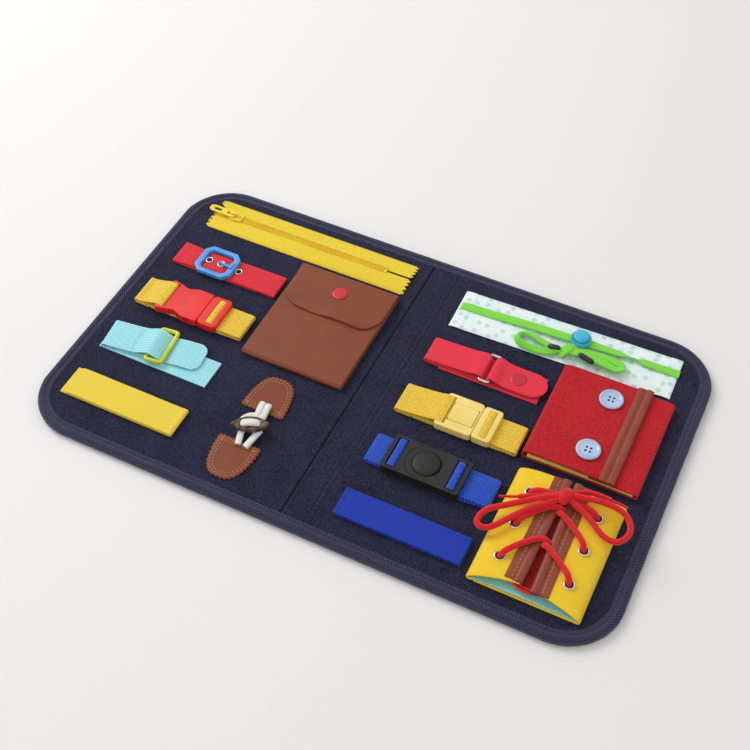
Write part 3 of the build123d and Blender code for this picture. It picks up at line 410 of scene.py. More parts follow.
def woven_point(material, turn=0.0):
    """A place on the cloth in metres across and along it, turned."""
    spot = material.node_tree.nodes.new("ShaderNodeUVMap")
    spot.uv_map = "flat"
    return add_node("Mapping", "Vector", {"Vector": spot.outputs["UV"], "Rotation": (0, 0, turn)})


def bands(at, pitch, direction="X"):
    """Soft ribs a pitch apart, in millimetres."""
    return add_node(
        "TexWave", "Fac",
        {"Vector": at, "Scale": 1000.0 / pitch * pi / 10, "Distortion": 0.4, "Detail": 1.0,
         "Detail Scale": 2.0}, bands_direction=direction)


def twill(name, dark, light, pitch=0.5, lean=30.0, depth=0.05):
    """Twill tape, or thread with its fine twist: slanting ribs a pitch apart, with the
    yarns' small grain over them."""
    material = plain(name, Roughness=0.85, Specular_IOR_Level=0.25, Sheen_Weight=0.25)
    grain = noise(woven_point(material), 1400.0, 3.0)
    mixed = merged("MULTIPLY", bands(woven_point(material, radians(lean)), pitch), grain)
    return surfaced(material, dyed(mixed, 0.1, 0.6, dark, light), mixed, depth)


tape_twill = twill("tape_twill", (26, 24, 50), (76, 73, 106), 1.5, 38.0, 0.25)
tape_thread = twill("tape_thread", (58, 56, 76), (92, 90, 112))


def taped(name, edge, inwards, seed, body, nodes=()):
    """Edge tape carried along an edge: its section is set out inwards and up, and long
    shallow waves, with shorter ones on them, keep it from lying dead straight."""
    travel = along(edge)[:, None]
    wave = 0.10 * np.sin(travel / 5.3 + seed) + 0.07 * np.sin(travel / 2.1 + 2 * seed)
    out, up = tape_section.T
    flat = edge[:, None] + inwards[:, None] * (out + wave * 0.6)[..., None]
    height = up + wave * np.clip(up / board_top, 0, 1) * (out < tape_width)
    return lofted(name, stacked(flat[..., 0], flat[..., 1], height),
                  (tape_twill, body, "binding_twill"), nodes,
                  stacked(girth(tape_section), travel))


def copied(faces, step, copies):
    """The faces for each of several copies of their points, a step of points apart."""
    return (faces + step * np.arange(copies)[:, None, None]).reshape(-1, faces.shape[1]).tolist()


def stitched(name, path, place, part, length=2.4, gap=0.9, thick=0.5, lift=0.12):
    """A line of stitches along a path on the cloth's surface: each is a short bead, highest
    in its middle, whose two ends dip into the cloth."""
    rings, sides = 6, 6
    spots = evenly(at_board(path, place), length + gap)
    ahead, spots = turned(spots)[:-1], (spots[:-1] + spots[1:]) / 2
    beside, over = square_to(ahead)
    t, a = np.meshgrid(np.linspace(-1, 1, rings), np.arange(sides) * pi / 3, indexing="ij")
    fat = thick / 2 * np.sqrt(1.02 - 0.75 * t**2)
    bead = stacked(t * length / 2, fat * np.cos(a), fat * np.sin(a) + lift - 0.3 * t**2)
    bead = bead.reshape(-1, 3)
    frames = np.stack([ahead, -beside, over], 1)
    points = spots[:, None] + np.einsum("pk,skx->spx", bead, frames)
    caps = np.array([np.arange(sides)[::-1], np.arange(sides) + (rings - 1) * sides])
    faces = copied(tube_faces(rings, sides), len(bead), len(spots))
    faces += copied(caps, len(bead), len(spots))
    uv = np.tile(bead[:, :2], (len(spots), 1))
    return mesh_piece(name, points, faces, part, uv=uv)


for side, name in ((1, "right"), (-1, "left")):
    edge = evenly(outline(side), 2.0)
    taped(f"{name}_edge_tape", edge, leftwards(turned(edge)) * side, side, f"{name}_cover",
          f"{name}_binding")
    seam = outline(side, tape_width - seam_in)
    stitched(f"{name}_tape_stitches", stacked(*seam.T, 0.4), (0, 0),
             (tape_thread, f"{name}_cover", "binding_twill"))

inner = spine_half - fold_reach
for end, deep in (("near", -1), ("far", 1)):
    for name, side, stations in (
        ("left_fold", -1, np.linspace(-spine_half - fold_reach, -inner, 13)),
        ("spine", 0, np.linspace(-inner, inner, 5)),
        ("right_fold", 1, np.linspace(inner, spine_half + fold_reach, 13)),
    ):
        edge = stacked(stations, deep * board_depth / 2)
        piece = taped(f"{name}_{end}_tape", edge, stacked(0 * stations, -deep), 0.4,
                      None if side else "spine")
        if side:
            bends_at_fold(piece, side)

# ---- Zipper
# Two woven tapes with pinked ends, sewn down along their outer edges. A moulded
# coil runs down the middle of each, and a cast slider with a flat tab joins them.
zip_at, zip_length, zip_half = (-189.6, 100.7), 170.6, 16.5
slider_x, slider_length, coil_pitch, squeeze_lift = 12.0, 13.0, 2.1, 0.8
thread_weave = ((0.5, 0.3), 0.05)


def webbing(name, dark, light, yarn=(1.9, 1.2), depth=0.22, rough=0.7, rib=0.0):
    """Woven webbing: staggered floats of yarn, each one long and half as wide, with a
    darker gap round it, and with rib, shallow cords along the strap."""
    material = plain(name, Roughness=rough, Specular_IOR_Level=0.3, Sheen_Weight=0.15)
    at = woven_point(material)
    long, wide = yarn
    weave = add_node("TexBrick", "Color", {
        "Vector": at, "Scale": 1000.0 / long, "Mortar Size": 0.2 * wide / long,
        "Mortar Smooth": 1.0, "Row Height": wide / long, "Brick Width": 1.0,
        "Color1": (1, 1, 1, 1), "Color2": (0.72, 0.72, 0.72, 1), "Mortar": (0, 0, 0, 1)})
    height = mixed = merged("MULTIPLY", weave, noise(at, 1100.0, 3.0, Roughness=0.7))
    if rib:
        height = merged("ADD", mixed, bands(at, rib))
        mixed = merged("MULTIPLY", height, 0.5)
    return surfaced(material, dyed(mixed, 0.08, 0.5, dark, light), height, depth)


def moulded(name, dark, light, rough=0.36, grain=0.02, clear=0.0):
    """Moulded plastic: an even colour with faint flow marks, and a fine skin that breaks
    its highlight."""
    material = plain(name, Roughness=rough, Specular_IOR_Level=0.45, Coat_Weight=clear,
                     Coat_Roughness=0.15)
    here = board_point(material)
    colour = dyed(noise(here, 60.0, 3.0), 0.3, 0.7, dark, light)
    return surfaced(material, colour, noise(here, 2200.0), grain)


zip_tape = (webbing("zipper_cloth", (224, 182, 28), (255, 232, 60), (1.3, 0.65), 0.15),
            "left_cover", "yellow_tape")
zip_thread = (webbing("zipper_thread", (230, 180, 26), (255, 222, 58), *thread_weave),
              *zip_tape[1:])
zip_enamel = moulded("zipper_enamel", (238, 198, 36), (255, 226, 66), 0.34, 0.01, 0.3)
slider = (zip_enamel, "zipper_slider", "yellow_enamel")


def tube(name, path, place, radius, part, sides=10, up=(0, 0, 1)):
    """A round tube carried along a path of points, with a radius for each point or one
    for all. Its rings are square to the path."""
    path = at_board(path, place)
    beside, over = square_to(turned(path), up)
    angle = np.linspace(0, 2 * pi, sides, endpoint=False)[:, None]
    radius = np.broadcast_to(radius, len(path))[:, None, None]
    around = beside[:, None] * np.cos(angle) + over[:, None] * np.sin(angle)
    uv = stacked(angle[:, 0] * radius[0, 0], along(path)[:, None])
    return lofted(name, path[:, None] + radius * around, part, uv=uv)


along_it = np.concatenate([[0], np.linspace(0.012, 0.988, 150), [1]]) * zip_length
coil_x = np.linspace(slider_x + slider_length - 2, zip_length - 22.5, 1500)
for side, name, parting, tuck in ((1, "far", 9.6, 1.8), (-1, "near", 0.8, 0.2)):
    # Each tape lies on the board at its outer edge and climbs to its coil. Both ends are
    # pinked into four teeth, 3 mm deep. Left of the slider the inner edge draws away, the
    # far tape's much further than the near one's.
    x, over = np.meshgrid(along_it, np.linspace(0, 1, 33), indexing="ij")
    pinking = 6.0 * np.abs(over * 4 % 1.0 - 0.5)
    x = x + pinking * (np.clip(1 - x / 6, 0, 1) - np.clip(1 - (zip_length - x) / 6, 0, 1))
    inner = (0.15 + parting * np.clip(1 - x / (slider_x + 3.5), 0, 1)
             + 0.75 * np.clip((x - zip_length + 22) / 3, 0, 1))
    y = side * (inner + over * (zip_half - tuck - inner))
    climb = 1.0 - np.clip((over - 0.25) / 0.75, 0, 1) ** 1.4
    sewn_dip = 0.35 * np.exp(-(((over - 0.93) / 0.03) ** 2))
    top = 0.75 + (1.25 + 0.12 * np.sin(x / 9.0)) * climb - sewn_dip
    upper, uv = stacked(x, y, top), stacked(over * zip_half, x)
    rings = np.concatenate([upper, upper[:, ::-1] - [0, 0, 0.65]], 1)
    lofted(f"zipper_{name}_tape", at_board(rings, zip_at), zip_tape, "zipper_tapes",
           np.concatenate([uv, uv[:, ::-1]], 1))
    seam = side * (zip_half - tuck - 1.2)
    stitched(f"zipper_{name}_seam", [(4, seam, 0.78), (zip_length - 4, seam, 0.78)], zip_at,
             zip_thread, 2.2, 0.8, 0.4)
    turn = 2 * pi * (coil_x - coil_x[0]) / coil_pitch + (0 if side > 0 else pi)
    coil = stacked(coil_x, side * 1.35 * (1 + np.sin(turn)), 2.15 + 0.35 * np.cos(turn))
    tube(f"zipper_{name}_coil", coil, zip_at, 0.46, zip_thread, 6)
across = np.linspace(-1, 1, 9)
stop = stacked(coil_x[-1] + 1.0, 2.4 * across, 2.1 + 0.5 * np.cos(1.2 * across))
tube("zipper_stop", stop, zip_at, 0.75, (zip_enamel, *zip_tape[1:]), up=(1, 0, 0))


def closed(points, step=0.8):
    """A closed outline from its corners, with its points a step apart."""
    points = np.asarray(points, float)
    return evenly(np.concatenate([points, points[:1]]), step)[:-1]


def inset(shape, depth):
    """A closed outline moved inwards, square to its edge, by a depth or one for each point."""
    after = np.roll(shape, -1, 0)
    ahead = after - np.roll(shape, 1, 0)
    ahead /= np.linalg.norm(ahead, axis=1)[:, None]
    area = np.sum(shape[:, 0] * after[:, 1] - shape[:, 1] * after[:, 0])
    return shape + np.sign(area) * leftwards(ahead) * np.c_[depth]


def rounded_over(shape, high, soften, steps):
    """The rings of an upper edge that is rounded over, inwards, or outwards where soften
    is negative."""
    return [stacked(*inset(shape, soften * (1 - cos(a))).T, high - abs(soften) * (1 - sin(a)))
            for a in np.linspace(0, pi / 2, steps)]


def plate(name, shape, low, high, place, part, nodes=(), soften=0.4, height=None, foot=0.0,
          inner=7):
    """A plate from a closed outline: up its side, over a rounded upper edge and in to its
    middle. height adds to the top at each x and y, and the foot rounds the lower edge."""
    rings = [stacked(*inset(shape, foot + 0.001).T, low)]
    if foot:
        rings = [stacked(*inset(shape, foot * (1 - sin(a))).T, low + foot * (1 - cos(a)))
                 for a in np.linspace(0, pi / 2, 6)]
    rings += rounded_over(shape, high, soften, 6)
    edge, middle = rings[-1], np.array([*shape.mean(0), high])
    rings += [middle + (edge - middle) * share for share in np.linspace(1, 0.02, inner)[1:]]
    rings = np.array(rings)
    if height:
        lift = np.clip((rings[..., 2] - low) / (high - low), 0, 1)
        rings[..., 2] += lift * height(rings[..., 0], rings[..., 1])
    return lofted(name, at_board(rings, place), part, nodes, rings[..., :2], sharp=50.0)


near_side = np.array([
    (12.3, -2), (13.4, -3), (17.2, -4.25), (19, -4.3), (24.2, -3.5), (25, -2.8)])
slider_outline = closed(np.concatenate([near_side, near_side[::-1] * [1, -1]]), 0.6)
for name, low, high in (("top", 2.9, 3.95), ("bottom", 0.2, 1.2)):
    plate(f"zipper_slider_{name}", slider_outline, low, high, zip_at, slider, "zipper_slider")
for side in (-1, 1):
    rail_y = side * (4.0 - 0.05 * np.linspace(0, 9, 9) ** 1.2)
    rail = stacked(np.linspace(14.5, 24.6, 9), rail_y, 2.5)
    tube(f"zipper_slider_rail_{side + 2}", rail, zip_at, 0.5, slider)
arch = np.linspace(0, pi, 15)
bridge = stacked(18.5 - 4.3 * np.cos(arch), 0, 3.6 + 2.55 * np.sin(arch) ** 0.6)
tube("zipper_slider_bridge", bridge, zip_at, 0.75, slider, up=(0, 1, 0))


def refit(place, x=(), y=(), squeeze=1.0, low=1.8):
    """A change of proportions about a place. x and y each hold two rows, the old places and
    the new ones, and squeeze brings the heights closer to low."""
    start = np.array([*place, board_top])

    def moved(points):
        points = points / MM - start
        for k, rows in enumerate((x, y)):
            if rows:
                points[:, k] = np.interp(points[:, k], *rows)
        points[:, 2] = low + (points[:, 2] - low) * squeeze + (1 - squeeze) * squeeze_lift
        return (points + start) * MM
    return moved


def softened(node, material, width=0.5, fit=None):
    """A moulded piece from its own solid: the same shape merged into whole faces, with
    every hard edge rounded over by a width in millimetres. fit moves its points first."""
    mesh = frame["nodes"][node].data.copy()
    mesh.materials.clear()
    if "custom_normal" in mesh.attributes:
        mesh.attributes.remove(mesh.attributes["custom_normal"])
    work = bmesh.new()
    work.from_mesh(mesh)
    bmesh.ops.remove_doubles(work, verts=work.verts, dist=2e-6)
    bmesh.ops.dissolve_limit(
        work, angle_limit=radians(3), verts=work.verts, edges=work.edges, delimit={"NORMAL"})
    bmesh.ops.triangulate(work, faces=work.faces)
    if fit:
        for vert, spot in zip(work.verts, fit(np.array([vert.co for vert in work.verts]))):
            vert.co = spot
    work.to_mesh(mesh)
    work.free()
    obj = placed(f"{node}_moulding", mesh)
    round_over = obj.modifiers.new("round_over", "BEVEL")
    round_over.width, round_over.segments = width * MM, 3
    round_over.limit_method, round_over.angle_limit = "ANGLE", radians(35)
    round_over.harden_normals = True
    mesh.polygons.foreach_set("use_smooth", [True] * len(mesh.polygons))
    mesh.set_sharp_from_angle(angle=radians(35))
    record = frame["record"]
    body = next(b for b, names in record["behaviour"]["bodies"].items() if node in names)
    slot = next(s["material_slot"] for s in record["subparts"] if s["node"] == node)
    return finish_piece(obj, (material, body, slot), node)


softened("zipper_pull_tab", zip_enamel, 0.35)

# ---- Straps of webbing
# Every row is a strip of webbing sewn flat, with loops of the same webbing over it. At
# a loop's sewn end the strip turns up and back over itself, held by a line of stitches.
left_start, left_row, right_start, right_row, row_pitch = -194.0, 51.4, 21.0, 44.0, 47.3
web_width, web_thick, web_flat, web_low, web_high = 24.0, 1.4, 0.75, 2.25, 3.8


def cut_corners(points):
    """A smooth path: each corner is cut off a quarter of the way along its two sides,
    and the new corners again, four times over. The two ends stay."""
    path = np.asarray(points, float)
    for _ in range(4):
        first, second = path[:-1], path[1:]
        cut = np.stack([0.75 * first + 0.25 * second, 0.25 * first + 0.75 * second], 1)
        path = np.concatenate([path[:1], cut.reshape(-1, path.shape[1]), path[-1:]])
    return path


def strap(name, place, route, part, nodes=(), width=web_width, thick=web_thick, tip=0.0,
          step=0.9, smooth=True, offset=0.0, pinch=((0, 0),), trim=None):
    """A band carried along a route of points along and up. Its section is flat with rounded
    edges, and with a tip its far end is rounded off. pinch draws both edges in and trim
    only the near one, each by rows of place and depth."""
    path = evenly(cut_corners(route) if smooth else np.array(route, float), step)
    if tip:
        far = along(path)
        near_tip = far[-1] - tip * (1 - np.sin(np.linspace(0, pi / 2, 14)))
        at = np.concatenate([far[far < far[-1] - tip], near_tip])
        path = stacked(*(np.interp(at, far, path[:, k]) for k in (0, 1)))
    x, up = path[:, 0], leftwards(turned(path))
    left = along(path)[-1] - along(path)
    narrow = tip - np.sqrt(np.maximum(tip**2 - np.maximum(tip - left, 0) ** 2, 0))
    narrow = narrow + np.interp(x, *zip(*pinch))
    flat, bend = np.linspace(-1, 1, 17), np.linspace(-pi / 2, pi / 2, 7)
    top = np.concatenate([stacked(flat, 0, 1), stacked(1, np.cos(bend), -np.sin(bend))])
    s, pull, rise = np.concatenate([top, top * [-1, 1, -1]]).T
    half = np.maximum(width / 2 - narrow, thick / 2 + 0.05)[:, None]
    y = s * (half + (pull - 1) * thick / 2)
    if trim:
        y = y + np.interp(x, *zip(*trim))[:, None] * (0.5 - y / width)
    skin = path[:, None] + up[:, None] * (rise * thick / 2)[:, None]
    rings = stacked(skin[..., 0], y + offset, skin[..., 1])
    uv = stacked(y + width / 2, along(path)[:, None])
    return lofted(name, at_board(rings, place), part, nodes, uv)


def base_strip(name, place, part, nodes=(), start=12, end=77, width=web_width):
    """The strip of a row that lies flat on the felt."""
    route = [(start, web_flat), (end, web_flat)]
    return strap(name, place, route, part, nodes, width, smooth=False)


def bar_tack(name, place, x, z, part, width=web_width - 3.0):
    """Two close lines of stitches across a strap."""
    for k, line in enumerate((x, x + 1.6)):
        ends = [(line, -width / 2, z), (line, width / 2, z)]
        stitched(f"{name}_{k + 1}", ends, place, part, 1.9, 0.7, 0.4, 0.08)


def turned_up(sewn, side):
    """The start of a loop's route: the strip on the board turned up and back over itself."""
    return [(sewn + side * 14, web_flat), (sewn + side * 3, web_flat),
            (sewn + side * 0.3, web_flat), (sewn + side * 0.3, web_high),
            (sewn + side * 3, web_high)]


def over_bar(sewn, bar, height, rod, side=1):
    """The route of a loop: level from its sewn end, up and round a rod, and back beneath."""
    reach = rod + 0.3 + web_thick / 2
    return turned_up(sewn, side) + [
        (sewn + side * 6, web_high), (bar - side * 7.5, height + reach * 0.35),
        (bar - side * 3.0, height + reach + 0.25), (bar, height + reach + 0.1),
        (bar + side * (reach + 0.35), height + reach), (bar + side * (reach + 0.1), height),
        (bar + side * (reach + 0.3), web_low + 0.4), (bar + side * 1.0, web_low),
        (bar - side * 3.0, web_low), (sewn + side * 2.2, web_low)]


def through_slot(sewn, bar, height, rod, side):
    """The route of a loop that lies low, climbs through its slot, goes round the bar and
    comes back beneath."""
    reach = rod + 0.3 + web_thick / 2
    return turned_up(sewn, side) + [
        (bar - side * 6.5, web_high), (bar - side * (reach + 0.9), web_high + 0.1),
        (bar - side * (reach + 0.1), height), (bar - side * (reach - 0.1), height + reach),
        (bar, height + reach + 0.3), (bar + side * (reach - 0.1), height + reach),
        (bar + side * (reach + 0.1), height), (bar + side * (reach + 0.1), web_low + 0.3),
        (bar + side * 1.0, web_low), (bar - side * 3.0, web_low), (sewn + side * 2.2, web_low)]


# ---- Belt
# Red webbing with three eyelets runs under a blue frame, and the prong turns on
# the frame's right bar. Between the bars the webbing bulges up.
belt, belt_width, frame_middle = (left_start, left_row - 1.5), 21.2, 37.0
red_webbing = "left_cover", "red_webbing"
red_web = (webbing("belt_web", (178, 12, 32), (255, 50, 68), (1.5, 0.9), 0.2), *red_webbing)
red_thread = (webbing("belt_thread", (190, 18, 34), (235, 44, 58), *thread_weave), *red_webbing)
blue_moulding = moulded("belt_blue", (66, 146, 226), (92, 168, 240), 0.34, 0.01, 0.2)
base_strip("belt_base", belt, red_web, "belt_webbing", 8, 85, belt_width)
belt_route = [(14, 0.75), (6, 0.75), (3.4, 0.75), (3.4, 2.4), (6, 2.3), (17, 2.25), (23, 2.2),
              (28, 3.3), (35.5, 4), (44, 3.4), (48, 2.2), (54, 2.25), (87.6, 2.3),
              (90.2, 2.4), (90.2, 0.75), (87.6, 0.75), (76, 0.75)]
strap("belt_strap", belt, belt_route, red_web, width=belt_width,
      pinch=[(8, 0), (22, 1), (28, 2.6), (44, 2.2), (52, 0.3), (70, 0)])
for name, x in (("left", 6.4), ("right", 85.6)):
    bar_tack(f"belt_{name}_tack", belt, x, 3.0, red_thread, 18.0)


def eight_sided(half_x, half_y, cut):
    """A rectangle with cut corners round the frame's middle, its points at equal angles."""
    angle = np.linspace(0, 2 * pi, 180, endpoint=False)
    c, s = np.abs(np.cos(angle)), np.abs(np.sin(angle))
    reach = np.minimum(half_x / np.maximum(c, 1e-9), half_y / np.maximum(s, 1e-9))
    reach = np.minimum(reach, (half_x + half_y - cut) / (c + s))
    return stacked(frame_middle + reach * np.cos(angle), reach * np.sin(angle))


outer, opening = eight_sided(15.2, 13.4, 5.0), eight_sided(10.6, 9.6, 2.4)
frame_low, frame_high, frame_soften = 3.1, 6.2, 0.7
rings = np.array([
    stacked(*outer.T, frame_low), *rounded_over(outer, frame_high, frame_soften, 5),
    *rounded_over(opening, frame_high, -frame_soften, 5)[::-1],
    stacked(*opening.T, frame_low), stacked(*outer.T, frame_low)])
lofted("belt_frame", at_board(rings, belt), (blue_moulding, "left_cover", "blue_plastic"),
       "belt_buckle_frame", rings[..., :2], caps=False, sharp=50.0)
softened("belt_prong", blue_moulding, 0.3, refit(belt, (), ((-1.2, 4.2), (-2.7, 2.7))))


def bright_metal(name, tint, rough=0.22):
    """Plated metal: bright, with fine rubbed streaks that blur its highlight here and there."""
    material = plain(name, Metallic=1.0)
    rub = noise(board_point(material, (1, 6, 1)), 300.0, 4.0)
    shaded(material, Roughness=ramp(rub, 0.3, 0.7, rough * 0.6, rough * 1.6))
    shade = [0.8 * value for value in tint]
    return surfaced(material, two_tone(rub, (*shade, 1), (*tint, 1)), rub, 0.01)


nickel = bright_metal("nickel", (0.86, 0.85, 0.82))
# Painted shade: a dark, faintly mottled colour for discs set down in holes, where the hole's inside
# would lie in shadow.
hole_shade = plain("eyelet_shadow", Roughness=0.9)
shaded(hole_shade, Base_Color=two_tone(
    noise(board_point(hole_shade), 400.0), linear(20, 12, 14), linear(44, 28, 30)))


def lathe(name, spots, profile, place, part, nodes=(), sides=40, sharp=40.0):
    """Turned pieces: one closed profile of radius and height, spun about an upright axis
    at each spot."""
    angle = np.linspace(0, 2 * pi, sides, endpoint=False)[:, None]
    radius, height = np.array(profile, float).T
    radius = np.maximum(radius, 0.02)
    turned_piece = stacked(radius * np.cos(angle), radius * np.sin(angle), height)
    points = np.array(spots)[:, None, None] + turned_piece
    faces = copied(tube_faces(sides, len(radius), whole=True), sides * len(radius), len(spots))
    return mesh_piece(name, at_board(points, place), faces, part, nodes, sharp=sharp)


def eyelets(name, spots, place, body, radius, hole, nodes):
    """Pressed eyelets: a rolled rim round a barrel, over a dark disc of painted shade in the hole.
    """
    roll = np.linspace(-pi / 2, pi, 9)
    thick, middle = (radius - hole) / 2, (radius + hole) / 2
    profile = np.concatenate([
        stacked(middle + thick * np.cos(roll), 0.1 + 0.62 * np.sin(roll).clip(-0.2)),
        [(hole, -0.7), (hole + 0.2, -0.7), (hole + 0.25, -0.1)]])
    lathe(name, spots, profile, place, (nickel, body, "eyelet_metal"), nodes, 28, None)
    # The disc below the rim is painted shade for the eyelet's hole.
    disc = [(0.05, 0.06), (hole + 0.1, 0.06), (hole + 0.1, -0.19), (0.05, -0.19)]
    lathe(f"{name}_hollow", spots, disc, place, (hole_shade, body, "eyelet_metal"), (), 28, None)


eyelets("belt_eyelet_rims", [(29.9, 0, 4.5), (40, 0, 4.5), (55, 0, 3)], belt, "left_cover",
        3.0, 2.0, "belt_eyelets")

# ---- Release buckle
# Yellow webbing holds a red side-release buckle: the socket on the left with its
# flared wings, and the plug on the right with a slot for its webbing.
release = (left_start, left_row - row_pitch)
buckle_squeeze, bar_height, bar_rod = 0.7, 5.4, 1.25
yellow_web = webbing("yellow_web", (208, 142, 18), (255, 228, 80))
yellow_thread = webbing("yellow_web_thread", (206, 150, 30), (240, 196, 70), *thread_weave)
yellow_left = (yellow_web, "left_cover", "yellow_webbing")
red_moulding = moulded("buckle_red", (222, 30, 30), (242, 46, 42), 0.46, 0.012)
for name in ("socket", "plug", "arms"):
    softened(f"release_buckle_{name}", red_moulding, 0.45, refit(
        release, ((16.0, 48.0, 48.3, 68.8), (19.0, 54.0, 54.3, 70.0)),
        ((-15.5, 15.5), (-14.6, 14.6)), buckle_squeeze))
base_strip("release_base", release, yellow_left, "release_webbing")
strap("release_left_loop", release, over_bar(0, 21.5, bar_height, bar_rod), yellow_left)
bar_tack("release_tack", release, 3.0, 4.5, (yellow_thread, *yellow_left[1:]))


def sliding_loop(name, place, sewn, bar, side, part, node):
    """The loop behind a buckle half that slides, from its sewn end round the half's bar. It has
    no body, and nothing carries it with the half."""
    material, cover, slot = part
    loop = strap(name, place, through_slot(sewn, bar, bar_height, bar_rod, side),
                 (material, None, slot), node, web_width - 0.6)
    bends(loop, place, (sewn, 0), (bar - side * 4.0, 0))


sliding_loop("release_right_loop", release, 89.0, 63.1, -1, yellow_left,
             "release_plug_webbing")

# ---- Aqua strap and lime ring
# A hook-and-loop strap: one end is sewn round the ring, and the free tail goes
# out under the ring's right bar, a little askew.
aqua_base = (left_start, left_row - 2 * row_pitch)
aqua_at = (*aqua_base, 6.5)
aqua = (webbing("aqua_web", (104, 190, 216), (186, 250, 255), (1.4, 0.8), 0.2, 0.8, 1.6),
        "left_cover", "aqua_webbing")
aqua_thread = webbing("aqua_thread", (120, 204, 224), (170, 236, 246), *thread_weave)
base_strip("aqua_base_strip", aqua_base, aqua, "aqua_webbing", 1, 88)
aqua_route = turned_up(1.5, 1) + [
    (16, web_high), (28, 4.2), (33, 6.2), (38, 8), (42, 6.5), (46, 3.7), (47.8, 2.6),
    (44, 2.3), (30, 2.3), (5, 2.25)]
strap("aqua_loop", aqua_at, aqua_route, aqua)
bar_tack("aqua_tack", aqua_at, 24.0, 5.0, (aqua_thread, *aqua[1:]))
tail_route = [(46.6, 3.2), (48.4, 2.4), (50.5, 2.3), (53, 2.6), (60, 3.1), (66, 2.9), (76, 2.6)]
tail = strap("aqua_free_tail", aqua_at, tail_route, (aqua[0], None, aqua[2]), "aqua_tail", tip=7.0)
bends(tail, aqua_at, (53.6, 2.6), (60, 3))
lime_moulding = moulded("ring_lime", (196, 200, 16), (226, 228, 46), 0.3, 0.01, 0.25)
softened("lime_ring", lime_moulding, 0.05)

# ---- Hook-and-loop strips
# Yellow and blue strips of hook-and-loop tape: the lower half is sewn to the
# board, and the upper half presses onto it and peels from its free end.
yellow_at = (left_start, left_row - 3 * row_pitch + 0.7)
blue_at = (right_start, right_row - 3 * row_pitch + 0.8)
yellow_width, blue_width = 23.4, 21.6
yellow_tape = webbing("peel_yellow", (224, 190, 52), (250, 224, 82), (0.7, 0.4), 0.08, 0.85)
blue_tape = webbing("peel_blue", (4, 30, 130), (18, 60, 192), (1.5, 0.8), 0.2, 0.75, 1.6)
blue_thread = webbing("blue_thread", (6, 34, 124), (24, 62, 184), *thread_weave)
blue_webbing = "right_cover", "blue_webbing"
strap("yellow_strip_fold", yellow_at,
      [(0, 0.75), (86, 0.75), (89.3, 0.8), (89.6, 3), (86.5, 3), (84.6, 2.6), (83.4, 2.3)],
      (yellow_tape, "left_cover", "yellow_strip"), "yellow_strip_base", yellow_width)
strap("yellow_strip_upper", yellow_at,
      [(85.6, 2.7), (70, 2.6), (52, 2.95), (34, 2.6), (18, 2.9), (1.5, 2.55)],
      (yellow_tape, "yellow_strip", "yellow_strip"), "yellow_strip_top", yellow_width, tip=5.0)
base_strip("blue_strip_lower", blue_at, (blue_tape, *blue_webbing), "blue_strip_base", 0, 89,
           blue_width)
strap("blue_strip_seam", blue_at, [(0.2, 2.4), (3.3, 2.5)], (blue_tape, *blue_webbing),
      width=blue_width, smooth=False)
strap("blue_strip_upper", blue_at, [(3.5, 2.55), (25, 2.6), (45, 2.9), (65, 2.6), (88.4, 2.55)],
      (blue_tape, "blue_strip", "blue_webbing"), "blue_strip_top", blue_width)
stitched("blue_strip_stitches", [(1.8, -9.5, 3.2), (1.8, 9.5, 3.2)], blue_at,
         (blue_thread, *blue_webbing), 1.9, 0.7, 0.4)

# ---- Leather pouch
# One piece of soft leather folded at the near edge, with a flap that folds over
# from the back and closes on a covered snap.
pouch, flap_place = (-59, -16.3, 90), (-59, 36.2)
pouch_width, layer, flap_deep, flap_low, flap_high, flap_round = 79.5, 2.2, 41.9, 5.2, 6.5, 16.5


def leather(name, dark, light, pebble=0.9, depth=0.07, rough=0.5):
    """Grained leather: small pebbles with creases between them, cloudy colour and a gloss
    that varies where the hide is rubbed."""
    material = plain(name, Specular_IOR_Level=0.35)
    here = board_point(material)
    pebbles = add_node("TexVoronoi", "Distance", {"Vector": here, "Scale": 1000.0 / pebble},
                       feature="SMOOTH_F1")
    cloud = noise(here, 55.0, 5.0, Roughness=0.6)
    shaded(material, Roughness=ramp(cloud, 0.3, 0.7, rough - 0.07, rough + 0.1))
    mixed = merged("SUBTRACT", cloud, merged("MULTIPLY", pebbles, 0.35))
    colour = dyed(mixed, -0.2, 0.9, dark, light)
    return surfaced(material, colour, merged("SUBTRACT", 1.0, pebbles), depth)


pouch_hide = leather("pouch_hide", (116, 54, 30), (146, 76, 47), 0.9, 0.05)
on_pouch = (pouch_hide, "left_cover", "brown_leather")
snap_red = moulded("snap_red", (190, 28, 40), (216, 48, 56), 0.4, 0.01, 0.2)
pocket_route = [(91.8, 1.1), (3.4, 1.1), (0.9, 1.1), (1, 2.4), (0.9, 3.7), (3.4, 3.75),
                (30, 3.95), (60, 4.05), (91.8, 3.75)]
strap("pouch_pocket", pouch, pocket_route, on_pouch, "pouch_body", pouch_width, layer, step=1.2)
strap("pouch_back_fold", pouch, [(93.2, 0.8), (93.4, 3.6), (93.3, 5), (91.2, 4.95)], on_pouch,
      width=pouch_width, thick=1.3, step=0.5)
bend = np.linspace(0, pi / 2, 12)
flap_side = stacked(23.0 + flap_round * np.cos(bend), flap_round - flap_round * np.sin(bend))
flap_shape = np.concatenate([
    [(39.7, flap_deep)], flap_side, flap_side[::-1] * [-1, 1] + [1.6, 0], [(-39.7, flap_deep)]])
x, y = closed(flap_shape, 1.2).T
flap_shape = stacked(x, y + 0.5 * np.sin(x / 6.5) * np.clip(1 - y / 20, 0, 1))


def flap_wave(x, y):
    """How the flap's free edge lifts and wavers, while its fold stays down."""
    free = np.clip(1 - y / 15, 0, 1) ** 1.5
    down = 1.1 * np.clip((y - 39.5) / 2.4, 0, 1) ** 2
    waver = 0.55 + 0.35 * np.sin(x / 7.5) + 0.25 * np.sin(x / 3.1 + 1)
    return waver * free + 0.25 * np.sin(x / 17) - down


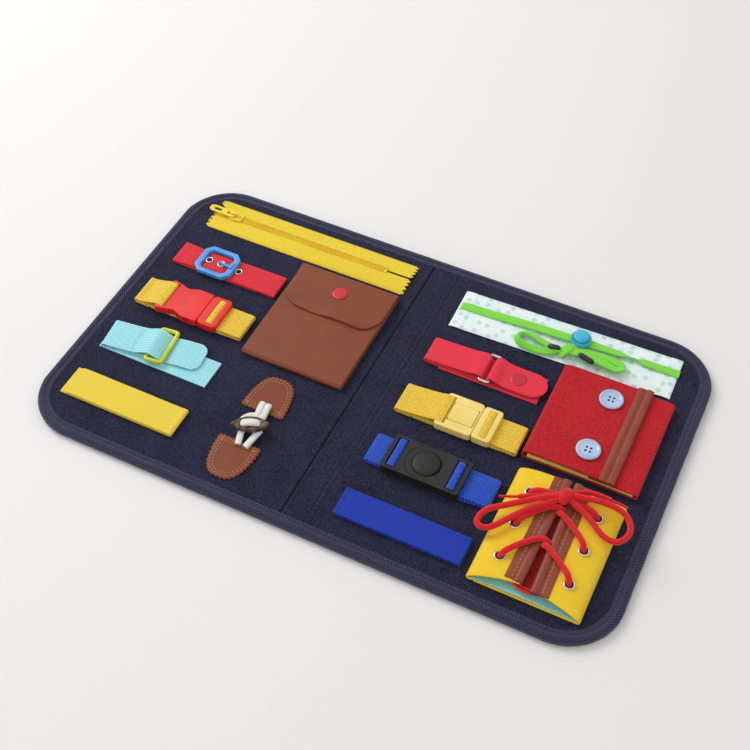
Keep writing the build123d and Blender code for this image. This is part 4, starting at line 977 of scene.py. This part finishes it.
plate("pouch_flap_leather", flap_shape, flap_low, flap_high, flap_place,
      (pouch_hide, "pouch_flap", "brown_leather"), "pouch_flap", 0.5, flap_wave, 0.3, 16)
snap_profile = np.array([(0, 0.2), (5.7, 0.2), (5.8, 0.7), (5.4, 1.15), (4.6, 1.35), (3.9, 1.28),
                         (2, 1.4), (0, 1.42)])
lathe("pouch_snap", [(-59, 60.4, 6.3)], snap_profile, (0, 0), (snap_red, "pouch_flap", "snap_red"),
      "pouch_snap_cap")

# ---- Toggle closure
# Two scalloped leather patches are sewn down with two lines of tan thread each. A
# doubled white cord comes from one, and a turned wooden toggle hangs on the other.
toggle_at = (-60.0, -73.3)
patch_hide = leather("patch_hide", (110, 47, 22), (146, 73, 39), 0.8, 0.08)
tan_thread = twill("tan_thread", (188, 128, 84), (236, 184, 134))


def fuller(wave, power):
    """A sine or cosine filled out, or drawn in where the power is over one."""
    return np.sign(wave) * np.abs(wave) ** power


patch_half, patch_deep = 16.3, 32.2
bend = np.linspace(0, pi, 60)
arch = stacked(patch_half * fuller(np.cos(bend), 0.62), patch_deep * np.sin(bend) ** 0.92)
for side, near, name in ((1, 16.6, "upper"), (-1, -10.2, "lower")):
    base = closed(arch * [1, side] + [0, near], 0.35)
    base = sum(np.roll(base, k, 0) for k in range(-7, 8)) / 15
    travel = along(base)
    lobes = round(travel[-1] / 3.3)
    scallop = 0.85 * (1 - np.abs(np.sin(pi * lobes * travel / (travel[-1] + 0.35))))
    plate(f"{name}_patch", inset(base, scallop), 0.0, 1.45, toggle_at,
          (patch_hide, "left_cover", "brown_leather"), "toggle_patches" if side > 0 else (), 0.45,
          lambda x, y: 0.12 * np.sin(x / 6) * np.cos(y / 5), 0.15, 12)
    for k, depth in enumerate((2.3, 4.3)):
        stitched(f"{name}_patch_stitches_{k + 1}", stacked(*inset(base, depth).T, 1.5), toggle_at,
                 (tan_thread, "left_cover", "brown_leather"), 1.5, 1.0, 0.6)


def braid(name, dark, light, pitch=1.1, depth=0.18):
    """Braided cord: two sets of slanting strands that cross, each with fine yarn on it."""
    material = plain(name, Roughness=0.8, Specular_IOR_Level=0.25, Sheen_Weight=0.25)
    one, other = (bands(woven_point(material, radians(lean)), pitch) for lean in (35, -35))
    yarn = noise(woven_point(material), 1600.0, 3.0)
    mixed = merged("MULTIPLY_ADD", merged("MULTIPLY", one, other), yarn, 0.15)
    return surfaced(material, dyed(mixed, 0.15, 0.6, dark, light), mixed, depth)


def smooth_line(points):
    """The points along a smooth NURBS line that has these as its control points."""
    curve = bpy.data.curves.new("route", "CURVE")
    curve.dimensions = "3D"
    spline = curve.splines.new("NURBS")
    spline.points.add(len(points) - 1)
    for point, spot in zip(spline.points, points):
        point.co = (*spot, 1)
    spline.order_u, spline.use_endpoint_u, spline.resolution_u = 3, True, 16
    holder = placed("route", curve)
    bpy.context.view_layer.update()
    line = bpy.data.meshes.new_from_object(
        holder.evaluated_get(bpy.context.evaluated_depsgraph_get()))
    spots = np.array([vertex.co for vertex in line.vertices])
    bpy.data.objects.remove(holder)
    bpy.data.curves.remove(curve)
    bpy.data.meshes.remove(line)
    return spots


def laid_cord(name, place, route, part, diameter, nodes=(),
              flat=1.0, lean=((0, 0),), slim=((0, 1),)):
    """A cord along the smooth line of its route. Its section is an oval, flat times as
    thick as wide. lean tilts it about the line and slim narrows it, by share of its length."""
    path = smooth_line(at_board(route, place))
    beside, over = square_to(turned(path))
    share = along(path) / along(path)[-1]
    tilt = np.radians(np.interp(share, *zip(*lean)))[:, None]
    radius = np.interp(share, *zip(*slim))[:, None] * diameter / 2
    angle = np.linspace(0, 2 * pi, 16, endpoint=False)
    power = 0.7 if flat < 1 else 1.0
    a, b = fuller(np.cos(angle), power), flat * fuller(np.sin(angle), power)
    u = ((a * np.cos(tilt) - b * np.sin(tilt)) * radius)[..., None]
    v = ((a * np.sin(tilt) + b * np.cos(tilt)) * radius)[..., None]
    rings = path[:, None] + beside[:, None] * u + over[:, None] * v
    uv = stacked(angle * diameter / 2, along(path)[:, None])
    piece = lofted(name, rings, part, nodes, uv)


white_braid = braid("white_braid", (226, 224, 216), (255, 255, 250))
white_cord = (white_braid, "left_cover", "white_cord")
laid_cord("toggle_arch_cord", toggle_at,
          [(-6.4, -3.5, 3.5), (-7, 1.5, 3.5), (-6.7, 6, 3.5), (-3, 10.4, 3.55),
           (3, 10.4, 3.55), (7, 7, 3.5), (7.6, 2, 3.5), (7, -3.5, 3.5)],
          white_cord, 4.4, "toggle_cords", flat=0.75)
for name, route in (
    ("upper_left", [(-1.4, 22.8, 3), (-1, 18.5, 3.9), (0, 13.5, 3.8), (0.4, 8.5, 3.6)]),
    ("upper_right", [(3.2, 22.8, 3), (3.6, 18.5, 3.9), (4.7, 13.5, 3.8), (5, 8.5, 3.6)]),
    ("lower_left", [(-0.1, -14.4, 2.4), (-1.3, -9.5, 3.6), (-3.2, -2.5, 3.7)]),
    ("lower_right", [(5.6, -14.4, 2.4), (6.9, -9, 3.6), (8.4, 1, 3.7)]),
):
    laid_cord(f"toggle_{name}_cord", toggle_at, route, white_cord, 4.5, flat=0.75)


def wood(name, dark, light):
    """Dark turned wood: long grain in rings, fine pores along it, and a worn waxed gloss."""
    material = plain(name, Roughness=0.42)
    rings = add_node("TexWave", "Fac", {
        "Vector": board_point(material, (1.0, 3.2, 2.0)), "Scale": 55.0, "Distortion": 5.0,
        "Detail": 3.0, "Detail Scale": 1.6})
    mixed = merged("MULTIPLY", rings, noise(board_point(material, (1, 12, 6)), 240.0, 4.0))
    return surfaced(material, dyed(mixed, 0.05, 0.55, dark, light), mixed, 0.12)


toggle_wood = wood("toggle_wood", (58, 42, 34), (108, 86, 70))
toggle_place = (toggle_at[0] + 1.6, toggle_at[1] + 0.6, 24.0)
half_long, half_wide = 13.7, 6.1
share = np.linspace(-1, 1, 40)
lens = stacked(half_long * share, -5.8 * (1 - np.abs(share) ** 2.1) - 0.3)


def dished(x, y):
    """The toggle's top: hollow in the middle and raised in a rim round it."""
    out = np.clip((x / half_long) ** 2 + (y / half_wide) ** 2, 0, 1)
    return 0.9 * (1 - out) * (2.2 * out - (1 - out))


lens = closed(np.concatenate([lens, lens[::-1] * [1, -1]]), 0.7)
plate("toggle_body", lens, 5.4, 8.9, toggle_place, (toggle_wood, "wooden_toggle", "dark_wood"),
      "wooden_toggle", 1.3, dished, 1.2, 14)
laid_cord("toggle_cord_knuckle", toggle_place,
          [(-5.2, 0, 7.4), (-4.8, 0, 9.7), (4.8, 0, 9.7), (5.2, 0, 7.4)],
          (white_braid, "wooden_toggle", "white_cord"), 5.2, flat=0.75)

# ---- Drawstring
# A cotton strip hemmed at both ends, printed with loose grey dots, and a flat lime
# cord over it. The cord runs through a round spring lock and hangs from it in a bow.
strip_place, strip_wide = (22.6, 90.7, 1.5), 37.0
cord_place, lock_at = (right_start, 93.5, 2.1), [(94.0, 0.0, 0.0)]


def dotted_cotton(name, ground, shade, dots):
    """Smooth cotton: a plain weave, pale cloudy dye and round dots in loose rows."""
    material = plain(name, Roughness=0.8, Specular_IOR_Level=0.25)
    at = woven_point(material)
    cloth = dyed(noise(at, 70.0, 4.0), 0.42, 0.72, ground, shade)
    spots = add_node("TexVoronoi", "Distance", {"Vector": at, "Scale": 118.0, "Randomness": 0.6},
                     voronoi_dimensions="2D")
    faint = merged("MULTIPLY", ramp(spots, 0.27, 0.18), 0.42)
    weave = merged("ADD", bands(at, 0.5), bands(at, 0.5, "Y"))
    return surfaced(material, two_tone(faint, cloth, linear(*dots)), weave, 0.05)


cotton = (dotted_cotton("dotted_cotton", (244, 255, 254), (226, 248, 248), (158, 184, 200)),
          "right_cover", "dotted_cotton")
hem_thread = (twill("hem_thread", (196, 214, 222), (240, 246, 248)), *cotton[1:])
strip_route = [(0.2, 0.45), (0.7, 1), (8, 1.15), (9.5, 0.75), (40, 0.9), (75, 0.65),
               (110, 0.95), (140, 0.65), (155, 0.75), (156.5, 1.15), (163.5, 1),
               (164.2, 0.45)]
strip_cloth = strap("drawstring_cloth", strip_place, strip_route, cotton, "drawstring_strip",
                    strip_wide, 0.7)
hems = {}
for name, x in (("left", 9), ("right", 156)):
    hems[name] = [(x, 1 - strip_wide / 2, 1.4), (x, strip_wide / 2 - 1, 1.4)]
for name, y in (("near", -17.1), ("far", 17.1)):
    hems[name] = [(10, y, 1.25), (40, y, 1.35), (75, y, 1.1), (110, y, 1.4), (155, y, 1.15)]
for name, hem in hems.items():
    stitched(f"cotton_{name}_hem", hem, strip_place, hem_thread, 1.8, 0.8, 0.35)

lime_braid = braid("lime_braid", (108, 208, 48), (172, 252, 108), 1.2, 0.12)
laid_cord("lime_cord", cord_place,
          [(3.6, 0, 1.5), (6, 0, 2.2), (26, 0, 2.1), (56, 0.4, 3.4), (86, 0, 3.9),
           (112, 0, 3.9), (134, 0.3, 3.2), (150, 0, 2.4), (163, 0, 2.3), (166.4, 0, 1.6)],
          (lime_braid, "right_cover", "lime_cord"), 7.0, "drawstring_cord", flat=0.24,
          lean=[(0, 0), (0.6, 4), (0.74, 20), (0.8, 60), (0.84, 10), (1, 0)],
          slim=[(0, 1), (0.72, 1), (0.8, 0.6), (0.85, 0.95), (1, 1)])
cyan_moulding = moulded("lock_cyan", (56, 176, 212), (86, 206, 236), 0.34, 0.01, 0.2)
barrel = [(0, 1.6), (5.6, 1.6), (7, 2.2), (7.5, 3.4), (7.6, 5.2), (7.5, 7.1), (7, 7.8),
          (6.3, 7.9), (6.1, 7.5), (6.1, 5), (0, 5)]
cap = [(0, 7.8), (5.9, 7.8), (6, 9), (5.7, 10), (4.8, 10.6), (3.2, 10.85), (0, 10.9)]
for name, profile, body, node in (("lock_barrel", barrel, "cord_lock", "cord_lock_body"),
                                  ("lock_cap", cap, "cord_lock_button", "cord_lock_button")):
    lathe(name, lock_at, profile, cord_place, (cyan_moulding, body, "cyan_plastic"), node)
on_lock = (lime_braid, "cord_lock", "lime_cord")
for name, width, flat, lean, nodes, route in (
    ("left", 5.4, 0.42, [(0, 10), (0.3, 25), (0.5, 65), (0.7, 25), (1, 5)], "drawstring_bow",
     [(90, -9.5, 4), (84, -14.5, 4.6), (74, -20, 4.2), (60, -20.5, 3.9), (50.5, -17, 4.5),
      (52, -8.8, 4.4), (62, -8.6, 4), (72, -13, 4.8), (84, -16.5, 6.2)]),
    ("right", 6.4, 0.34, [(0, 0), (0.45, 8), (0.52, -20), (0.6, -8), (1, 0)], (),
     [(92, -10.5, 4), (101, -9, 4.6), (112, -8.6, 4.4), (121, -8.6, 4.2),
      (128.4, -10.6, 4.3), (127.2, -16.6, 4.9), (118, -15.6, 5.6), (108, -14, 6.2),
      (98, -12.8, 6.4), (90, -13.6, 6.2)]),
):
    laid_cord(f"lime_bow_{name}", cord_place, route, on_lock, width, nodes, flat=flat,
              lean=lean)
laid_cord("lime_bow_knot", cord_place,
          [(93.4, -8.6, 4.4), (90.6, -10.2, 6.9), (87.5, -14, 7.3), (84, -18.5, 4)],
          on_lock, 7.4, flat=0.4)
aglet_black = moulded("aglet_black", (22, 22, 22), (44, 44, 42), 0.35, 0.01, 0.2)
aglet_radius = np.array([1.0, 1.9, 2.05, 2.05, 2.05, 2.05, 2.05, 1.9, 1.0])
for name, start, end in (("left", (74.5, -15.2, 6), (83.5, -15.7, 7.6)),
                         ("right", (97, -14.9, 7.4), (109, -17.9, 6.4))):
    tube(f"lime_{name}_aglet", np.linspace(start, end, 9), cord_place, aglet_radius,
         (aglet_black, "cord_lock", "black_plastic"), 16)

# ---- Snap strap
# Red felt webbing with a wire ring: the left part is sewn round the ring, and the
# tongue on its right closes with a covered snap.
snap, snap_width, snap_offset = (right_start, right_row), 21.6, 0.5
snap_web = (webbing("snap_strap_red", (214, 34, 54), (250, 60, 82), (0.6, 0.5), 0.06, 0.8),
            "right_cover", "red_felt_webbing")
on_tongue = (snap_web[0], "snap_tongue", snap_web[2])
base_strip("snap_base", snap, snap_web, "snap_webbing", 12, 85.5)
strap("snap_loop", snap, over_bar(0, 41.0, 4.6, 1.0), snap_web, width=snap_width,
      offset=snap_offset)
tongue_route = [(47.9, 3.4), (47.7, 5.2), (48.4, 6.5), (50.2, 6.9), (53, 6.2), (57, 4.2),
                (63, 3.5), (75, 3.45), (88.4, 3.45)]
strap("snap_tongue_strap", snap, tongue_route, on_tongue, "snap_tongue", snap_width, tip=10.9,
      step=0.6, offset=snap_offset)
lathe("strap_snap", [(67.2, 0.8, 4.0)], snap_profile * [1, 0.7], snap, (snap_red, *on_tongue[1:]),
      "snap_cap")
softened("silver_ring", nickel, 0.05,
         refit(snap, ((40, 50), (41, 50.4)), ((-16, 16), (-12.8, 13.8))))

# ---- Press-panel buckle
# A pale yellow buckle on yellow webbing. The square panel is raised on the socket
# and springs back when it is pressed.
press = (right_start, right_row - row_pitch)
pale_moulding = moulded("buckle_pale", (245, 212, 108), (252, 230, 142), 0.36, 0.012, 0.2)
yellow_right = (yellow_web, "right_cover", "yellow_webbing")
for name, soft, squeeze, low in (("socket", 0.45, buckle_squeeze, 1.8),
                                 ("plug", 0.45, buckle_squeeze, 1.8), ("panel", 0.4, 0.55, 4.53)):
    softened(f"press_buckle_{name}", pale_moulding, soft, refit(
        press, ((29.0, 53.0, 53.3, 71.3), (30.0, 56.6, 56.9, 70.4)),
        ((-15.5, 15.5), (-14.4, 14.4)), squeeze, low))
base_strip("press_base", press, yellow_right, "press_webbing")
strap("press_left_loop", press, over_bar(0, 32.5, bar_height, bar_rod), yellow_right)
sliding_loop("press_right_loop", press, 89.0, 63.9, -1, yellow_right,
             "press_plug_webbing")

# ---- Round-button buckle
# A matt black buckle on blue webbing, with a round button in the middle and the
# joint line curving past it.
round_row = (right_start, right_row - 2 * row_pitch)
black_moulding = moulded("buckle_black", (22, 22, 21), (34, 34, 33), 0.55, 0.02)
for name in ("right", "left"):
    softened(f"round_buckle_{name}", black_moulding, 0.5, refit(
        round_row, ((11.7, 68), (12.5, 68)),
        ((-15.5, -10.6, 10.6, 15.5), (-14.0, -10.3, 10.3, 14.0)), buckle_squeeze))
button = [(0, 7.1), (9.4, 7.1), (9.6, 7.5), (9.5, 8.2), (9, 8.9), (7.6, 9.4), (5, 9.75),
          (0, 9.9)]
lathe("round_button_dome", [(40.0, 0, 0)], button, round_row,
      (black_moulding, "round_button", "black_plastic"), "round_buckle_button", 56)
# The blue webbing's light tone is partly the yarn's own blue and partly a painted highlight on the
# yarn floats.
blue_web = (webbing("blue_web", (2, 28, 120), (44, 100, 230)), *blue_webbing)
base_strip("round_base", round_row, blue_web, "round_webbing")
strap("round_right_loop", round_row, through_slot(89.0, 61.4, bar_height, bar_rod, -1), blue_web,
      width=23.0)
sliding_loop("round_left_loop", round_row, 0.0, 19.0, 1, blue_web,
             "round_left_webbing")

# ---- Cardigan front
# Two sheets of red felt lined in yellow. The upper one folds over from the left,
# ends in a leather placket, and carries two pearly buttons.
cardigan, felt_deep, felt_thick = (113.0, 28.4), 82.8, 1.7
red_felt = felt("red_felt", (166, 18, 26), (214, 42, 52), lint=0.1)
lining_yellow = webbing("lining_yellow", (214, 176, 60), (252, 222, 116), (0.6, 0.4), 0.08)
placket_hide = leather("placket_hide", (124, 52, 35), (168, 84, 62), 0.8, 0.06)
dark_thread = twill("dark_thread", (64, 30, 22), (110, 60, 44))
pearl = moulded("button_pearl", (158, 184, 224), (196, 216, 244), 0.25, 0.01, 0.5)
placket, button_blue = ("cardigan_flap", "brown_leather"), ("cardigan_flap", "button_blue")
under_route = [(4.3, 7.55), (1.9, 7.3), (0.9, 5.2), (0.9, 2.2), (1.6, 1), (40, 1),
               (78.4, 1), (79.6, 1.6), (79.6, 4.4), (78.2, 5.35), (60, 5.45), (46.5, 5.3)]
strap("cardigan_under", cardigan, under_route, (red_felt, "right_cover", "red_felt"),
      "cardigan_body", felt_deep, felt_thick)
over = strap("cardigan_over", cardigan, [(4.35, 7.6), (8, 7.9), (30, 8), (52, 7.7), (64, 7.6)],
             (red_felt, "cardigan_flap", "red_felt"), "cardigan_flap", felt_deep, felt_thick)
for side, name in ((-1, "near"), (1, "far")):
    strap(f"cardigan_{name}_lining", cardigan, [(4, 3.4), (40, 3.9), (77, 3.2)],
          (lining_yellow, "right_cover", "yellow_felt"), width=3.0, thick=2.9,
          offset=side * (felt_deep / 2 - 1.5))


def splay(y):
    """How far a lacing gap's edge stands off: more at the near end than at the far one."""
    return 2.1 * np.clip((30.0 - y) / 72.0, 0, 1) ** 0.8


def profile_run(name, place, section, start, end, part, nodes=(), gap_side=0):
    """A closed section of points along and up, carried across the strap from start to end,
    straight or along one side of a lacing gap."""
    section = np.array(section)
    y = np.linspace(start, end, int(abs(end - start) / 1.2) + 2)[:, None]
    x = section[:, 0] + gap_side * splay(y)
    rings = stacked(x, y, section[:, 1] + 0.08 * np.sin(y / 4.3))
    lofted(name, at_board(rings, place), part, nodes, stacked(girth(section), y))


def roll(x, z, wide, high):
    """The section of a rolled edge: an oval with a flat foot."""
    angle = np.linspace(0, 2 * pi, 18, endpoint=False)
    return stacked(x + wide / 2 * np.cos(angle), z + high * np.maximum(np.sin(angle) / 2, -0.4))


flange = [(53.2, 8.45), (53.3, 9.2), (53.8, 9.45), (57.6, 9.5), (58.4, 9), (59.5, 8.4)]
profile_run("placket_flange", cardigan, flange, -42.2, 42.2, (placket_hide, *placket),
            "cardigan_placket")
profile_run("placket_roll", cardigan, roll(61.2, 8.5, 5.6, 3.4), -42.4, 42.4,
            (placket_hide, *placket))
stitched("placket_stitches", [(56.9, -41.5, 9.5), (56.9, 41.5, 9.5)], cardigan,
         (dark_thread, *placket), 2.2, 0.9, 0.5)
pearl_button = [(0, 0), (5.5, 0), (8, 0.7), (8.4, 1.3), (8.3, 2), (7.7, 2.5), (6.9, 2.45),
                (6.1, 1.9), (5.2, 1.6), (0, 1.5)]
button_spots = [(39.6, -23.2, 8.6), (39.6, 23.2, 8.6)]
lathe("cardigan_pearl_buttons", button_spots, pearl_button, cardigan, (pearl, *button_blue),
      "cardigan_buttons", 56)
# Dark discs of painted shade stand for the four holes in each button.
holes = [(x + dx, y + dy, z + 1.5)
         for x, y, z in button_spots for dx in (-1.5, 1.5) for dy in (-1.5, 1.5)]
lathe("button_hole_shades", holes, [(0, 0), (0.85, 0), (0.85, 0.07), (0, 0.07)], cardigan,
      (hole_shade, *button_blue), sides=16)

# ---- Shoe front
# Two smooth yellow panels arch over a teal lining and a dark red tongue. Leather
# strips edge the gap, and a red lace crosses it between nickel eyelets into a bow.
shoe, shoe_middle, shoe_deep = (116.0, -68.5), 37.25, 89.0
tongue_half, tongue_round, tongue_near, tongue_far = 14.8, 14.5, -27.0, 41.0
shoe_felt = (felt("shoe_yellow", (250, 200, 40), (255, 222, 62), 1500.0),
             "right_cover", "yellow_felt")
teal = webbing("lining_teal", (110, 192, 190), (186, 244, 236), (1.6, 1.2), 0.25)
shoe_hide = (leather("shoe_hide", (116, 48, 31), (166, 86, 62), 0.8, 0.05, 0.36),
             "right_cover", "brown_leather")
dark_red = felt("tongue_red", (116, 14, 22), (160, 26, 36))
lace_red = braid("lace_red", (208, 14, 22), (252, 42, 44), 1.0, 0.2)
red_lace = (lace_red, "right_cover", "red_lace")
strap("shoe_base", shoe, [(5.6, 0.85), (69, 0.85)], shoe_felt, width=shoe_deep, thick=1.6,
      smooth=False)
strap("shoe_lining", shoe, [(3.2, 2.1), (20, 2.6), (37, 3.2), (54, 2.6), (71.3, 2.1)],
      (teal, *shoe_felt[1:]), width=shoe_deep - 1.5, thick=0.9)
bend = np.linspace(0, pi, 30)
tongue_shape = closed(np.concatenate([
    stacked(tongue_half * np.cos(bend), tongue_near - tongue_round * np.sin(bend)),
    [(-tongue_half, tongue_far), (tongue_half, tongue_far)]]) + [shoe_middle, 0], 1.0)
plate("shoe_tongue_felt", tongue_shape, 6.5, 7.6, shoe, (dark_red, "right_cover", "dark_red_felt"),
      "shoe_tongue", foot=0.3, inner=8)
for k, depth in enumerate((0.2, 2.4)):
    rim = stacked(shoe_middle + (tongue_half - depth) * np.cos(bend),
                  tongue_near - (tongue_round - depth) * np.sin(bend), 7.3)
    tube(f"tongue_piping_{k + 1}", rim, shoe, 0.8, (lace_red, "right_cover", "dark_red_felt"))

panel_route = np.array([(31.5, 0.85), (35, 0.85), (36.4, 1.1), (36.35, 3.2), (34.4, 5.6),
                        (28, 7.6), (20, 8.7), (10, 8.95), (4.4, 8.9)])
gap_trim = [(3, 0), (shoe_middle - 14, 4.5), (shoe_middle, 6.5), (shoe_middle + 14, 3.5), (71, 0)]
strip_section = np.array([(6, 9.7), (12.6, 9.6), (12.9, 10.1), (12.6, 10.6), (7.5, 10.8),
                          (6, 10.6)])
for side, name, near_end in ((-1, "left", -38.4), (1, "right", -41.6)):
    mirror, middle, left = [side, 1], [shoe_middle, 0], side < 0
    strap(f"shoe_{name}_panel", shoe, panel_route * mirror + middle, shoe_felt,
          "shoe_panels" if left else (), shoe_deep, 1.7, trim=gap_trim)
    profile_run(f"shoe_{name}_strip", shoe, strip_section * mirror + middle, near_end + 0.4, 44,
                shoe_hide, "shoe_edge_strips" if left else (), side)
    profile_run(f"shoe_{name}_roll", shoe, roll(3.9, 9.9, 6.2, 3.8) * mirror + middle, near_end,
                44.4, shoe_hide, gap_side=side)
    y = np.linspace(near_end + 1.5, 42.5, 40)
    line = stacked(shoe_middle + side * (8.4 + splay(y)), y, 10.85 + 0.08 * np.sin(y / 4.3))
    stitched(f"shoe_{name}_stitches", line, shoe, (tan_thread, *shoe_hide[1:]), 2.0, 1.1, 0.5)
lace_rows = (-26.0, 0.0, 26.0)
eyelet_spots = [(shoe_middle + side * 22.8, y, 9.45) for side in (-1, 1) for y in lace_rows]
eyelets("shoe_eyelet_rims", eyelet_spots, shoe, "right_cover", 3.8, 2.55, "lace_eyelets")
lace_runs = {
    "top_left": [(14.6, 26, 8.6), (16.4, 26.4, 13.4), (25, 28.2, 14.2), (36.5, 28.4, 15.8)],
    "top_right": [(59.9, 26, 8.6), (58.2, 26.4, 13.2), (49, 28.2, 14), (38, 28.4, 15.8)]}
for k, y in enumerate(lace_rows[:2]):
    lace_runs[f"{k + 1}_left"] = [
        (14.6, y, 8.4), (15.2, y + 0.6, 13.6), (21.5, y + 10, 12.8), (29.5, y + 18, 13.6),
        (37, y + 21.8, 14), (39.6, y + 21, 8.6)]
    lace_runs[f"{k + 1}_right"] = [
        (35.6, y + 19, 8.6), (36.4, y + 18.2, 13.2), (44, y + 13.6, 13.6),
        (52, y + 8.4, 12.8), (59, y + 2.4, 13.2), (59.9, y, 8.4)]
for name, route in lace_runs.items():
    laid_cord(f"lace_{name}", shoe, route, red_lace, 3.9, "lace" if name == "top_left" else ())
for name, route in (
    ("left", [(36.5, 28, 17.6), (25.5, 21.2, 18.2), (14.5, 13.6, 16.4), (4, 6.6, 14.2),
              (-6.6, -0.6, 12.4), (-8.6, -12.4, 11.8), (0.6, -13.6, 12.2), (9.7, -1.6, 14),
              (18, 9.4, 15.4), (27.5, 17.8, 16.4), (36, 26.5, 17.2)]),
    ("right", [(37.8, 29, 17.6), (50, 31.5, 18.4), (63, 34.4, 17.4), (76.5, 33.2, 15.2),
               (83, 22.8, 13.4), (77.6, 11.6, 12.6), (66.4, 12.6, 12.8), (55.5, 21.4, 14.6),
               (38.2, 27.5, 17.2)]),
):
    laid_cord(f"lace_bow_{name}", shoe, route, red_lace, 4.0)
for name, route in (
    ("left", [(36, 29.5, 16.6), (24.5, 24.6, 15), (9, 16.2, 13.8), (-2, 12.2, 12.8)]),
    ("right", [(38.5, 30.5, 16.8), (46, 37.5, 16.2), (58, 39.5, 15.2), (75, 38.5, 14.4)]),
):
    laid_cord(f"lace_tail_{name}", shoe, route, red_lace, 3.4,
              slim=[(0, 1), (0.68, 1), (0.72, 0.55), (1, 0.5)])
knot = [(35.8, 24, 15.4), (36.2, 25.2, 19.6), (37.6, 30.8, 19.8), (37.8, 32.4, 15.4)]
laid_cord("lace_bow_knot", shoe, knot, red_lace, 6.4, flat=0.8)

# ---- Solids without a material
# A solid that came without a material takes the felt's.
for name, obj in frame["nodes"].items():
    if not obj.data.materials or obj.data.materials[0] is None:
        obj.data.materials.append(navy_felt)
